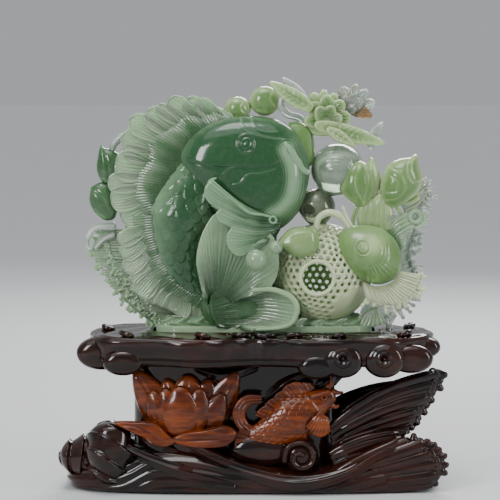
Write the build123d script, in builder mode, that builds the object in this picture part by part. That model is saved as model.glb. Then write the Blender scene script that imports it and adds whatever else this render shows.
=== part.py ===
from build123d import *

import os
from math import cos, hypot, radians, sin

# Jade carp carving on a lacquered wooden stand. Millimetres, +Z up, front faces -Y.
# The origin is on the resting plane, under the middle of the stand.
# The stone is one carved block on the real object. It is kept as one rigid body of named
# pieces that meet face to face, one for each carved feature.

os.makedirs("parts", exist_ok=True)

# ---------------------------------------------------------------- driving dimensions
WIDTH = 280.0
DEPTH = 112.0
PAD_HEIGHT = 1.5
PAD_RADIUS = 8.0
BASE_CORNER = 42.0
SLAB_BOTTOM = 93.0
SLAB_EDGE_TOP = 106.0
SLAB_TOP = 117.0
SEAT_DEPTH = 4.0
SEAT_CLEARANCE = 0.5
SLAB_HALF_DEPTH = 53.0
SLAB_SHOULDER = 9.0

CORE_LEFT, CORE_RIGHT = -88.0, 62.0
CORE_FRONT, CORE_BACK = -28.0, 42.0

FOOT_LEFT, FOOT_RIGHT = -72.0, 90.0
FOOT_HALF_DEPTH = 23.0
FOOT_TOP = 121.0

DOWEL_RADIUS = 4.0
DOWEL_LENGTH = 20.0
GLUE_GAP = 0.1
PIN_RADIUS = 2.5
PIN_LENGTH = 14.0
SCREW_SHANK = 2.0
SCREW_HEAD = 4.0
SCREW_LENGTH = 44.0

BALL_CENTRE = (52.5, 0.0, 158.5)
BALL_RADIUS = 38.0
BALL_WALL = 4.5
BALL_MOUTH_RADIUS = 10.7

SEAT_FLOOR = SLAB_TOP - SEAT_DEPTH


# ---------------------------------------------------------------- shared helpers
def write(piece, name):
    """Label a finished piece and write its STEP file."""
    piece.part.label = name
    export_step(piece.part, f"parts/{name}.step")


def cut_away(*neighbours):
    """Take earlier pieces out of the piece being made, so that they meet face to face."""
    for neighbour in neighbours:
        add(neighbour.part, mode=Mode.SUBTRACT)


def front_plane(front):
    """A sketch plane facing the viewer, whose front face lies at y = front."""
    return Plane(origin=(0, front, 0), x_dir=(1, 0, 0), z_dir=(0, -1, 0))


def scallops(points, bulge):
    """Arcs from each point to the next, each bowed out to the left of its chord."""
    for (x0, z0), (x1, z1) in zip(points, points[1:]):
        chord = hypot(x1 - x0, z1 - z0)
        middle = (
            (x0 + x1) / 2 - (z1 - z0) / chord * bulge,
            (z0 + z1) / 2 + (x1 - x0) / chord * bulge,
        )
        ThreePointArc((x0, z0), middle, (x1, z1))


def plate(front, thickness, rim, bulge, closing):
    """A flat plate with a scalloped rim, closed by straight runs through the closing points."""
    with BuildSketch(front_plane(front)) as outline:
        with BuildLine():
            scallops(rim, bulge)
            Polyline(rim[-1], *closing, rim[0])
        make_face()
    extrude(outline.sketch, amount=-thickness)


def blob(front, thickness, points):
    """A flat plate with a smooth closed outline."""
    with BuildSketch(front_plane(front)) as outline:
        with BuildLine():
            Spline(*points, periodic=True)
        make_face()
    extrude(outline.sketch, amount=-thickness)


def pebble(centre, half_width, half_height, tilt=0.0):
    """A solid of revolution with an elliptical profile, its axis tilted in the front plane."""
    x, y, z = centre
    lean = radians(tilt)
    axis = (sin(lean), 0, cos(lean))
    across = (cos(lean), 0, -sin(lean))
    place = Plane(origin=(x, y, z), x_dir=across, z_dir=(0, -1, 0))
    with BuildSketch(place) as profile:
        Ellipse(half_width, half_height)
        with Locations((-half_width, 0)):
            Rectangle(2 * half_width, 2 * half_height, mode=Mode.SUBTRACT)
    revolve(profile.sketch, axis=Axis((x, y, z), axis))


def rings(frames):
    """Loft through elliptical rings given as (x, y, z, heading, half height, half depth)."""
    sections = []
    for x, y, z, heading, half_height, half_depth in frames:
        turn = radians(heading)
        place = Plane(
            origin=(x, y, z),
            x_dir=(-sin(turn), 0, cos(turn)),
            z_dir=(cos(turn), 0, sin(turn)),
        )
        with BuildSketch(place) as section:
            Ellipse(half_height, half_depth)
        sections.append(section.sketch)
    loft(sections)


def ring(centre, major, minor):
    """An open-work ring seen face on."""
    with Locations(Plane(origin=centre, z_dir=(0, -1, 0))):
        Torus(major, minor)


# ================================================================ THE STAND
# ---------------------------------------------------------------- felt pads
with BuildPart() as felt_pads:
    with GridLocations(176, 68, 2, 2):
        Cylinder(PAD_RADIUS, PAD_HEIGHT, align=(Align.CENTER, Align.CENTER, Align.MIN))
write(felt_pads, "felt_pads")

# ---------------------------------------------------------------- wave base
# A rolling sea: a plinth whose top rises at the left, dips in the trough and rises again.
HALF_WIDTH = WIDTH / 2
with BuildPart() as wave_base:
    with BuildSketch(front_plane(0)):
        with BuildLine():
            Polyline(
                (-HALF_WIDTH, 22),
                (-HALF_WIDTH, PAD_HEIGHT),
                (HALF_WIDTH, PAD_HEIGHT),
                (HALF_WIDTH, 16),
            )
            Spline(
                (HALF_WIDTH, 16),
                (112, 24),
                (76, 22),
                (34, 17),
                (-8, 24),
                (-50, 33),
                (-96, 30),
                (-HALF_WIDTH, 22),
            )
        make_face()
    extrude(amount=DEPTH / 2, both=True)
    with BuildSketch(Plane.XY):
        RectangleRounded(WIDTH, DEPTH, BASE_CORNER)
    extrude(amount=60, mode=Mode.INTERSECT)

SCREW_PLACES = [(-70, 8), (-70, 30), (44, 8), (44, 30)]
with BuildPart() as base_screws:
    with Locations(*[(x, y, PAD_HEIGHT) for x, y in SCREW_PLACES]):
        Cone(SCREW_HEAD, SCREW_SHANK, 3, align=(Align.CENTER, Align.CENTER, Align.MIN))
        Cylinder(
            SCREW_SHANK, SCREW_LENGTH, align=(Align.CENTER, Align.CENTER, Align.MIN)
        )
write(base_screws, "base_screws")

with BuildPart() as base_drilled:
    add(wave_base.part)
    with Locations(*[(x, y, PAD_HEIGHT) for x, y in SCREW_PLACES]):
        Cone(
            SCREW_HEAD + GLUE_GAP,
            SCREW_SHANK + GLUE_GAP,
            3,
            align=(Align.CENTER, Align.CENTER, Align.MIN),
            mode=Mode.SUBTRACT,
        )
        Cylinder(
            SCREW_SHANK + GLUE_GAP,
            SCREW_LENGTH,
            align=(Align.CENTER, Align.CENTER, Align.MIN),
            mode=Mode.SUBTRACT,
        )
write(base_drilled, "wave_base")

# ---------------------------------------------------------------- core block
DOWEL_GRID = (100, 40, 2, 2)
DOWEL_MIDDLE = Location((-13, 8, SLAB_BOTTOM))
with BuildPart() as slab_dowels:
    with Locations(DOWEL_MIDDLE):
        with GridLocations(*DOWEL_GRID):
            Cylinder(DOWEL_RADIUS, DOWEL_LENGTH)
    chamfer(slab_dowels.edges().filter_by(GeomType.CIRCLE), 0.8)
write(slab_dowels, "slab_dowels")

LOTUS_PINS = [(-72, 58), (-34, 58)]
CARP_PINS = [(14, 48), (40, 58)]
with BuildPart() as core_block:
    with BuildSketch(Plane.XY.offset(10)):
        with Locations(
            ((CORE_LEFT + CORE_RIGHT) / 2, (CORE_FRONT + CORE_BACK) / 2)
        ):
            RectangleRounded(CORE_RIGHT - CORE_LEFT, CORE_BACK - CORE_FRONT, 16)
    extrude(amount=SLAB_BOTTOM - 10)
    cut_away(wave_base)
    with Locations(DOWEL_MIDDLE):
        with GridLocations(*DOWEL_GRID):
            Cylinder(
                DOWEL_RADIUS + GLUE_GAP, DOWEL_LENGTH + 2 * GLUE_GAP, mode=Mode.SUBTRACT
            )
    with Locations(*[(x, y, PAD_HEIGHT) for x, y in SCREW_PLACES]):
        Cylinder(
            SCREW_SHANK + GLUE_GAP,
            SCREW_LENGTH + 0.5,
            align=(Align.CENTER, Align.CENTER, Align.MIN),
            mode=Mode.SUBTRACT,
        )
    for x, z in LOTUS_PINS + CARP_PINS:
        with Locations(Plane(origin=(x, CORE_FRONT, z), z_dir=(0, -1, 0))):
            Cylinder(PIN_RADIUS + GLUE_GAP, PIN_LENGTH + 0.5, mode=Mode.SUBTRACT)
write(core_block, "core_block")

# ---------------------------------------------------------------- scrolls and wave crests
with BuildPart() as left_scroll:
    for x, z, radius, front, back in (
        (-104, 30, 22, -50, -2),
        (-122, 22, 17, -38, 10),
    ):
        middle = (front + back) / 2
        with Locations(Plane(origin=(x, middle, z), z_dir=(0, -1, 0))):
            Cylinder(radius, back - front)
    fillet(
        left_scroll.edges().filter_by(GeomType.CIRCLE).group_by(Axis.Y)[0], 9
    )
    cut_away(wave_base, core_block)
write(left_scroll, "left_scroll")

with BuildPart() as upper_wave_crest:
    with BuildSketch(front_plane(-34)):
        with BuildLine():
            Spline((56, 14), (66, 52), (92, 72), (128, 77), (138, 88))
            Polyline((138, 88), (139, 78), (132, 66), (134, 58), (124, 52), (120, 40))
            Spline((120, 40), (108, 38), (96, 30), (92, 14))
            Line((92, 14), (56, 14))
        make_face()
    extrude(amount=-52)
    cut_away(wave_base, core_block)
write(upper_wave_crest, "upper_wave_crest")

with BuildPart() as lower_wave_crest:
    with BuildSketch(front_plane(-50)):
        with BuildLine():
            Spline((58, 10), (82, 26), (104, 35), (122, 33), (132, 27), (137, 31))
            Polyline((137, 31), (138, 24), (132, 18), (134, 6), (118, 3), (58, 3))
            Line((58, 3), (58, 10))
        make_face()
    extrude(amount=-30)
    cut_away(wave_base, core_block, upper_wave_crest)
write(lower_wave_crest, "lower_wave_crest")

with BuildPart() as trough_curl:
    with Locations(Plane(origin=(36, -39, 26), z_dir=(0, -1, 0))):
        Cylinder(10.5, 22)
    fillet(trough_curl.edges().filter_by(GeomType.CIRCLE).group_by(Axis.Y)[0], 4)
    cut_away(wave_base, core_block)
write(trough_curl, "trough_curl")

# ---------------------------------------------------------------- cloud slab
FOOT_MIDDLE = (FOOT_LEFT + FOOT_RIGHT) / 2
FOOT_LENGTH = FOOT_RIGHT - FOOT_LEFT
SLAB_RIM = [
    (-121, -10),
    (-112, -40),
    (-78, -48),
    (-30, -SLAB_HALF_DEPTH),
    (24, -50),
    (66, -SLAB_HALF_DEPTH),
    (108, -46),
    (134, -18),
    (134, 16),
    (104, 42),
    (52, 50),
    (0, SLAB_HALF_DEPTH),
    (-56, 48),
    (-106, 40),
    (-121, 14),
]
with BuildPart() as cloud_slab:
    with BuildSketch(Plane.XY.offset(SLAB_BOTTOM)):
        with BuildLine():
            Spline(*SLAB_RIM, periodic=True)
        make_face()
    extrude(amount=SLAB_EDGE_TOP - SLAB_BOTTOM)
    shoulder = 1 - SLAB_SHOULDER / SLAB_HALF_DEPTH
    with BuildSketch(Plane.XY.offset(SLAB_EDGE_TOP)):
        with BuildLine():
            Spline(*SLAB_RIM, periodic=True)
        make_face()
    with BuildSketch(Plane.XY.offset(SLAB_TOP)):
        with BuildLine():
            Spline(*[(x * 0.93, y * shoulder) for x, y in SLAB_RIM], periodic=True)
        make_face()
    loft()
    with BuildSketch(Plane.XY.offset(SLAB_TOP)):
        with Locations((FOOT_MIDDLE, 0)):
            RectangleRounded(
                FOOT_LENGTH + 2 * SEAT_CLEARANCE,
                2 * (FOOT_HALF_DEPTH + SEAT_CLEARANCE),
                20,
            )
    extrude(amount=-SEAT_DEPTH, mode=Mode.SUBTRACT)
    with Locations(DOWEL_MIDDLE):
        with GridLocations(*DOWEL_GRID):
            Cylinder(
                DOWEL_RADIUS + GLUE_GAP, DOWEL_LENGTH + 2 * GLUE_GAP, mode=Mode.SUBTRACT
            )
write(cloud_slab, "cloud_slab")

# Rolled cloud lobes that hang under the slab's two ends.
with BuildPart() as cloud_lobes:
    for x, y, radius, height in (
        (-109, -28, 11, 12),
        (74, -36, 13, 7),
        (100, -33, 13, 8),
        (122, -16, 10, 9),
    ):
        with Locations((x, y, SLAB_BOTTOM)):
            Cylinder(radius, height, align=(Align.CENTER, Align.CENTER, Align.MAX))
    fillet(
        cloud_lobes.edges().filter_by(GeomType.CIRCLE).group_by(Axis.Z)[0], 3
    )
write(cloud_lobes, "cloud_lobes")

# ---------------------------------------------------------------- lotus and wooden carp
with BuildPart() as lotus_flower:
    with BuildSketch(front_plane(-48)):
        with BuildLine():
            Spline((-66, 44), (-84, 62), (-85, 87))
            Polyline((-85, 87), (-66, 74), (-53, 80), (-38, 76), (-13, 87))
            Spline((-13, 87), (-15, 62), (-30, 44))
            Line((-30, 44), (-66, 44))
        make_face()
    extrude(amount=-20)
    for x, z in LOTUS_PINS:
        with Locations(Plane(origin=(x, CORE_FRONT, z), z_dir=(0, -1, 0))):
            Cylinder(PIN_RADIUS + GLUE_GAP, PIN_LENGTH + 0.5, mode=Mode.SUBTRACT)
write(lotus_flower, "lotus_flower")

with BuildPart() as lotus_leaves:
    plate(-54, 20, [(-99, 53), (-80, 49), (-60, 42)], 1.5, [(-66, 37), (-88, 42)])
    plate(-54, 20, [(-54, 42), (-34, 45), (-13, 45)], 1, [(-16, 40), (-36, 36), (-48, 37)])
    cut_away(wave_base, left_scroll, lotus_flower)
write(lotus_leaves, "lotus_leaves")

with BuildPart() as wood_carp_body:
    rings(
        [
            (-2, -38, 40, 32, 4, 6),
            (12, -38, 47, 32, 11, 9),
            (32, -38, 58, 34, 15, 10),
            (52, -38, 67, 20, 11, 9),
            (62, -38, 68, 0, 4, 6),
        ]
    )
    with BuildSketch(front_plane(CORE_FRONT)):
        with Locations((30, 55)):
            Rectangle(120, 80)
    extrude(amount=-30, mode=Mode.SUBTRACT)
    cut_away(wave_base, trough_curl, upper_wave_crest)
    for x, z in CARP_PINS:
        with Locations(Plane(origin=(x, CORE_FRONT, z), z_dir=(0, -1, 0))):
            Cylinder(PIN_RADIUS + GLUE_GAP, PIN_LENGTH + 0.5, mode=Mode.SUBTRACT)
write(wood_carp_body, "wood_carp_body")

with BuildPart() as wood_carp_fins:
    plate(-42, 12, [(4, 54), (10, 66), (20, 74), (32, 79)], 2, [(40, 70), (20, 58)])
    plate(-42, 12, [(-5, 31), (-10, 44), (-9, 58), (2, 66)], 2, [(4, 60), (-2, 44), (2, 36)])
    cut_away(wave_base, wood_carp_body)
write(wood_carp_fins, "wood_carp_fins")

with BuildPart() as applique_pins:
    for x, z in LOTUS_PINS + CARP_PINS:
        with Locations(Plane(origin=(x, CORE_FRONT, z), z_dir=(0, -1, 0))):
            Cylinder(PIN_RADIUS, PIN_LENGTH)
write(applique_pins, "applique_pins")

# ================================================================ THE STONE
# ---------------------------------------------------------------- foot
with BuildPart() as jade_foot:
    with BuildSketch(Plane.XY.offset(SEAT_FLOOR)):
        with Locations((FOOT_MIDDLE, 0)):
            RectangleRounded(FOOT_LENGTH, 2 * FOOT_HALF_DEPTH, 19.5)
    extrude(amount=FOOT_TOP - SEAT_FLOOR)
write(jade_foot, "jade_foot")

# ---------------------------------------------------------------- perforated ball
with BuildPart() as lattice_ball:
    with Locations(BALL_CENTRE):
        Sphere(BALL_RADIUS)
        Sphere(BALL_RADIUS - BALL_WALL, mode=Mode.SUBTRACT)
    with Locations(Plane(origin=(BALL_CENTRE[0] - 4.5, 0, BALL_CENTRE[2]), z_dir=(0, -1, 0))):
        Cylinder(
            BALL_MOUTH_RADIUS,
            BALL_RADIUS + 2,
            align=(Align.CENTER, Align.CENTER, Align.MIN),
            mode=Mode.SUBTRACT,
        )
    cut_away(jade_foot)
write(lattice_ball, "lattice_ball")

with BuildPart() as ball_full:
    with Locations(BALL_CENTRE):
        Sphere(BALL_RADIUS)

# ---------------------------------------------------------------- the big carp
with BuildPart() as carp_head:
    rings(
        [
            (38, -2, 258, 212, 10, 9),
            (30, -2, 253, 212, 26, 17),
            (14, -2, 243, 212, 39, 25),
            (-6, -2, 230, 212, 43, 28),
            (-29, -2, 216, 212, 36, 26),
        ]
    )
write(carp_head, "carp_head")

with BuildPart() as carp_trunk:
    rings(
        [
            (-33, -2, 217, 222, 28, 25),
            (-50, -2, 199, 246, 26, 24),
            (-55.5, -2, 179, 272, 23, 22),
            (-50, -2, 161, 296, 19.5, 19),
            (-39, -2, 147, 316, 14, 14),
            (-24, -2, 138, 340, 10, 11),
        ]
    )
    cut_away(carp_head, jade_foot)
write(carp_trunk, "carp_trunk")

DORSAL_RIM = [
    (-97, 197),
    (-105, 209),
    (-104, 227),
    (-100, 244),
    (-87, 249),
    (-95, 265),
    (-83, 277),
    (-71, 281),
    (-62, 288),
    (-46, 283),
    (-34, 287),
    (-20, 283),
]
with BuildPart() as carp_dorsal_fin:
    plate(-8, 12, DORSAL_RIM, 1.5, [(-12, 262), (-40, 246), (-62, 214), (-70, 190)])
    cut_away(carp_head, carp_trunk)
write(carp_dorsal_fin, "carp_dorsal_fin")

REAR_FIN_RIM = [
    (-36, 123),
    (-54, 127),
    (-68, 136),
    (-80, 142),
    (-97, 160),
    (-107, 170),
    (-109, 184),
    (-97, 197),
]
with BuildPart() as carp_rear_fin:
    plate(-8, 12, REAR_FIN_RIM, 1.5, [(-70, 190), (-68, 160), (-40, 136)])
    cut_away(carp_trunk, carp_dorsal_fin, jade_foot)
write(carp_rear_fin, "carp_rear_fin")

with BuildPart() as carp_tail_upper:
    blob(
        -33,
        9,
        [
            (-30, 146),
            (-37, 170),
            (-36, 190),
            (-24, 205),
            (4, 196),
            (18, 180),
            (19, 163),
            (12, 149),
            (-8, 140),
        ],
    )
    cut_away(carp_head, carp_trunk, ball_full)
write(carp_tail_upper, "carp_tail_upper")

with BuildPart() as carp_tail_lower:
    blob(
        -36,
        30,
        [
            (-30, 132),
            (-8, 139),
            (14, 145),
            (28, 143),
            (32, 133),
            (28, 123),
            (12, 120),
            (-14, 120),
            (-32, 124),
        ],
    )
    cut_away(carp_trunk, carp_tail_upper, ball_full, jade_foot)
write(carp_tail_lower, "carp_tail_lower")

with BuildPart() as carp_pectoral_fin:
    blob(
        -37,
        14,
        [
            (-33, 228),
            (-34, 219),
            (-28, 211),
            (-25, 203),
            (-23, 190),
            (-17, 178),
            (-6, 175),
            (8, 181),
            (22, 188),
            (22, 196),
            (8, 204),
            (-6, 216),
            (-22, 221),
        ],
    )
    cut_away(carp_head, carp_trunk, carp_tail_upper)
write(carp_pectoral_fin, "carp_pectoral_fin")

BARBEL_ROUTE = [(26, -25, 257), (30, -24, 247), (36, -19, 238), (43, -14, 233)]
with BuildPart() as carp_barbel:
    with BuildLine() as barbel_line:
        Spline(*BARBEL_ROUTE)
    with BuildSketch(Plane(origin=barbel_line.line @ 0, z_dir=barbel_line.line % 0)):
        Circle(2.6)
    sweep()
    cut_away(carp_head)
write(carp_barbel, "carp_barbel")

with BuildPart() as carp_lip:
    blob(-8, 16, [(30, 272), (40, 268), (44, 256), (43, 244), (36, 238), (28, 250)])
    cut_away(carp_head, carp_barbel)
write(carp_lip, "carp_lip")

# ---------------------------------------------------------------- pods, beads and curls
with BuildPart() as top_pods:
    pebble((-10, 4, 282), 9, 12, 70)
    pebble((9, 4, 287), 9.5, 12, 60)
    cut_away(carp_head, carp_dorsal_fin)
write(top_pods, "top_pods")

with BuildPart() as left_leaves:
    blob(-5, 10, [(-112, 253), (-117, 236), (-114, 224), (-104, 221), (-101, 236)])
    blob(-6, 12, [(-119, 221), (-121.5, 211), (-117, 201), (-108, 199), (-106, 219)])
    cut_away(carp_dorsal_fin, carp_rear_fin)
write(left_leaves, "left_leaves")

with BuildPart() as left_curls:
    ring((-95, -1, 254), 8, 3)
    ring((-114, -1, 188), 8, 3)
    cut_away(carp_dorsal_fin, carp_rear_fin, left_leaves)
write(left_curls, "left_curls")

with BuildPart() as centre_pod:
    blob(-41, 18, [(19, 187), (26, 196), (38, 198), (47, 193), (46, 182), (36, 175), (24, 178)])
    cut_away(ball_full, carp_pectoral_fin, carp_tail_upper, carp_head)
write(centre_pod, "centre_pod")

with BuildPart() as beads:
    with Locations((4, -46, 174)):
        Sphere(8)
    with Locations((17, -47, 181)):
        Sphere(5)
    cut_away(carp_pectoral_fin, carp_tail_upper)
    cut_away(centre_pod)
write(beads, "beads")

with BuildPart() as clear_pearl:
    with Locations((64, 0, 236)):
        Sphere(20)
    cut_away(carp_lip, carp_head, carp_barbel)
write(clear_pearl, "clear_pearl")

with BuildPart() as smoky_pearl:
    with Locations((50, 2, 209)):
        Sphere(15)
    cut_away(clear_pearl, ball_full, carp_head, centre_pod, carp_lip)
write(smoky_pearl, "smoky_pearl")

with BuildPart() as hook_curl:
    ring((58, -18, 199), 10, 3)
    cut_away(smoky_pearl, ball_full, centre_pod)
write(hook_curl, "hook_curl")

# ---------------------------------------------------------------- flowers
with BuildPart() as lily_flower:
    pebble((53, -3, 275), 12, 16, 0)
    cut_away(clear_pearl)
write(lily_flower, "lily_flower")

with BuildPart() as clear_flower:
    with Locations(Plane(origin=(76, 8, 281), z_dir=(0, -1, 0))):
        Cylinder(17, 8)
    cut_away(lily_flower, clear_pearl)
write(clear_flower, "clear_flower")

with BuildPart() as flower_leaves:
    blob(-10, 6, [(14, 300), (32, 304), (42, 293), (45, 284), (30, 287)])
    blob(-14, 8, [(48, 271), (66, 268), (88, 264), (99, 257), (80, 256), (60, 260)])
    cut_away(lily_flower, clear_flower, clear_pearl)
write(flower_leaves, "flower_leaves")

with BuildPart() as top_curl:
    ring((27, 0, 285), 7.5, 3)
    cut_away(carp_head, carp_lip, flower_leaves, top_pods, lily_flower)
write(top_curl, "top_curl")

# ---------------------------------------------------------------- goldfish group
with BuildPart() as goldfish_body:
    pebble((86, -16, 172), 23, 26, 70)
    cut_away(ball_full)
write(goldfish_body, "goldfish_body")

with BuildPart() as left_bud:
    pebble((79, -8, 228), 13, 19, -5)
    cut_away(clear_pearl)
write(left_bud, "left_bud")

with BuildPart() as right_bud:
    pebble((110, -8, 229), 15, 20, 25)
    cut_away(left_bud)
write(right_bud, "right_bud")

with BuildPart() as bud_stalks:
    blob(-14, 12, [(88, 224), (84, 206), (84, 192), (104, 190), (103, 206), (98, 218)])
    cut_away(left_bud, right_bud, goldfish_body, ball_full, clear_pearl)
write(bud_stalks, "bud_stalks")

with BuildPart() as goldfish_dorsal_fin:
    blob(-14, 6, [(100, 192), (108, 210), (120, 214), (128, 206), (116, 196), (110, 178)])
    cut_away(goldfish_body, bud_stalks, right_bud)
write(goldfish_dorsal_fin, "goldfish_dorsal_fin")

SKIRT_RIM = [(128, 158), (125, 146), (116, 137), (104, 132), (92, 135), (80, 143)]
with BuildPart() as goldfish_skirt:
    plate(-34, 16, list(reversed(SKIRT_RIM)), -2, [(104, 164), (80, 154)])
    cut_away(goldfish_body, ball_full)
write(goldfish_skirt, "goldfish_skirt")

with BuildPart() as corner_fan:
    plate(-16, 10, [(92, 122), (96, 136), (84, 142), (76, 138)], 1, [(70, 122)])
    cut_away(ball_full, jade_foot, goldfish_skirt)
write(corner_fan, "corner_fan")

# ---------------------------------------------------------------- foam fringes
RIGHT_FOAM = [
    (100, 232),
    (122, 228),
    (130, 231),
    (135, 218),
    (131, 205),
    (126, 190),
    (121, 174),
    (127, 160),
    (124, 144),
    (112, 130),
    (104, 120),
    (84, 122),
    (82, 140),
    (98, 160),
    (100, 190),
]
with BuildPart() as right_foam:
    blob(6, 5, RIGHT_FOAM)
    cut_away(
        ball_full, goldfish_body, right_bud, left_bud, corner_fan, goldfish_skirt, jade_foot
    )
write(right_foam, "right_foam")

LEFT_FOAM = [
    (-119, 180),
    (-114, 164),
    (-104, 148),
    (-90, 136),
    (-76, 124),
    (-60, 122),
    (-64, 138),
    (-84, 160),
    (-98, 186),
]
with BuildPart() as left_foam:
    blob(4, 5, LEFT_FOAM)
    cut_away(carp_rear_fin, left_curls, carp_trunk, jade_foot)
write(left_foam, "left_foam")
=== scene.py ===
"""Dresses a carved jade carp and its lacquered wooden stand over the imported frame."""

import logging
import math
from collections.abc import Callable, Iterable, Sequence
from dataclasses import dataclass, field
from enum import Enum

import bpy
import numpy as np
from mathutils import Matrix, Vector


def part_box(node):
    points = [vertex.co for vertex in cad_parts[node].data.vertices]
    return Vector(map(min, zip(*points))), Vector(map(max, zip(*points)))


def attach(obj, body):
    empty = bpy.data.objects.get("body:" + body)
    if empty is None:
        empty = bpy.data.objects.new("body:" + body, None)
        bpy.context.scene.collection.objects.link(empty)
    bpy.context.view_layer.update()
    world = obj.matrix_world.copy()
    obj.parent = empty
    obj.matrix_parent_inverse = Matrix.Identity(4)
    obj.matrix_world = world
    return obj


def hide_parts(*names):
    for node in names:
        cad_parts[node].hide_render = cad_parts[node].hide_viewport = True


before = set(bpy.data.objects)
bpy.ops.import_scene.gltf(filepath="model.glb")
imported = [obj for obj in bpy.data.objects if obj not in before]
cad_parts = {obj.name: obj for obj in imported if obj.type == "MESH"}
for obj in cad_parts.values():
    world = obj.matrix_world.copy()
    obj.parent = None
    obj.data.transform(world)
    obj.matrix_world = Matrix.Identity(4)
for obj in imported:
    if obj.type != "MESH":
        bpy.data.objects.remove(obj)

MM = 0.001
FULL_TURN = 2 * math.pi
Pair = tuple[float, float]
Colour = tuple[float, float, float]
log = logging.getLogger("figurine")


class Body(Enum):
    """The two rigid bodies of the ornament."""

    STAND = "stand"
    JADE = "jade"


# ------------------------------------------------------------------ shader maths
class Signal:
    """One socket of a node tree, with the arithmetic that is used on it."""

    def __init__(self, graph: "Graph", socket: bpy.types.NodeSocket) -> None:
        """Wrap a socket.

        Args:
            graph: The graph that new Math nodes go into.
            socket: The output socket to wrap.
        """
        self.graph = graph
        self.socket = socket

    def math(self, operation: str, *others: "Signal | float") -> "Signal":
        """Add a Math node that starts with this signal.

        Args:
            operation: The Math node's operation.
            others: Its other operands.

        Returns:
            The node's result.
        """
        return self.graph.node("Math", {"operation": operation}, {0: self, **dict(enumerate(others, 1))})

    def __add__(self, other: "Signal | float") -> "Signal":
        """Sum."""
        return self.math("ADD", other)

    __radd__ = __add__

    def __mul__(self, other: "Signal | float") -> "Signal":
        """Product."""
        return self.math("MULTIPLY", other)

    __rmul__ = __mul__

    def __sub__(self, other: "Signal | float") -> "Signal":
        """Difference."""
        return self.math("SUBTRACT", other)

    def __rsub__(self, other: "Signal | float") -> "Signal":
        """Reflected difference."""
        return self * -1.0 + other

    def __abs__(self) -> "Signal":
        """Distance from nought."""
        return self.math("ABSOLUTE")

    def between(self, low: float, high: float) -> "Signal":
        """Rise smoothly from 0 at low to 1 at high."""
        settings = {"interpolation_type": "SMOOTHSTEP"}
        return self.graph.node("MapRange", settings, {"Value": self, "From Min": low, "From Max": high})


class Graph:
    """The node tree of one material."""

    def __init__(self, name: str) -> None:
        """Start an empty material.

        Args:
            name: The material's name.
        """
        self.material = bpy.data.materials.new(name)
        self.material.use_nodes = True
        self.tree = self.material.node_tree
        self.tree.nodes.clear()
        self.place = self.node("TexCoord", output="Object")

    def node(
        self,
        kind: str,
        settings: dict[str, object] | None = None,
        inputs: dict[int | str, object] | None = None,
        output: int | str = 0,
    ) -> Signal:
        """Add any node.

        Args:
            kind: The node's type, without its ShaderNode prefix.
            settings: Properties to set first.
            inputs: Values or signals, by socket name or number.
            output: The socket to return.

        Returns:
            The wanted output.
        """
        made = self.tree.nodes.new("ShaderNode" + kind)
        for key, value in (settings or {}).items():
            setattr(made, key, value)
        for key, value in (inputs or {}).items():
            if isinstance(value, Signal):
                self.tree.links.new(value.socket, made.inputs[key])
            else:
                made.inputs[key].default_value = value
        return Signal(self, made.outputs[output])

    def noise(self, scale: float, detail: float = 4.0, warp: float = 0.0,
              stretch: Colour = (1, 1, 1)) -> Signal:
        """Cloudy noise over the object, from 0 to 1.

        Args:
            scale: Clouds per metre.
            detail: Octaves.
            warp: How far it is distorted.
            stretch: How the clouds are squeezed along each axis.

        Returns:
            The noise's value.
        """
        where = self.node("Mapping", {}, {"Vector": self.place, "Scale": stretch})
        return self.node(
            "TexNoise", {}, {"Vector": where, "Scale": scale, "Detail": detail, "Distortion": warp}
        )

    def mix(self, share: Signal | float, low: Colour | Signal, high: Colour | Signal) -> Signal:
        """Blend two colours.

        Args:
            share: 0 for the low colour, 1 for the high one.
            low: A colour or a signal.
            high: A colour or a signal.

        Returns:
            The blended colour.
        """
        ends = {6 + n: end if isinstance(end, Signal) else (*end, 1.0) for n, end in enumerate((low, high))}
        return self.node("Mix", {"data_type": "RGBA"}, {0: share, **ends}, 2)

    def bump(self, height: Signal, depth_mm: float) -> Signal:
        """Turn a height into a normal."""
        return self.node("Bump", {}, {"Height": height, "Distance": depth_mm * MM, "Strength": 1.0}, "Normal")

    def close(self, **sockets: object) -> bpy.types.Material:
        """Finish the material with one Principled shader.

        Args:
            sockets: Its sockets, with underscores for spaces.

        Returns:
            The finished material.
        """
        names = {key.replace("_", " "): value for key, value in sockets.items()}
        shader = self.node("BsdfPrincipled", {}, names)
        self.node_output(shader)
        return self.material

    def node_output(self, shader: Signal) -> None:
        """Link a shader to the material's surface."""
        end = self.tree.nodes.new("ShaderNodeOutputMaterial")
        self.tree.links.new(shader.socket, end.inputs["Surface"])


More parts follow.
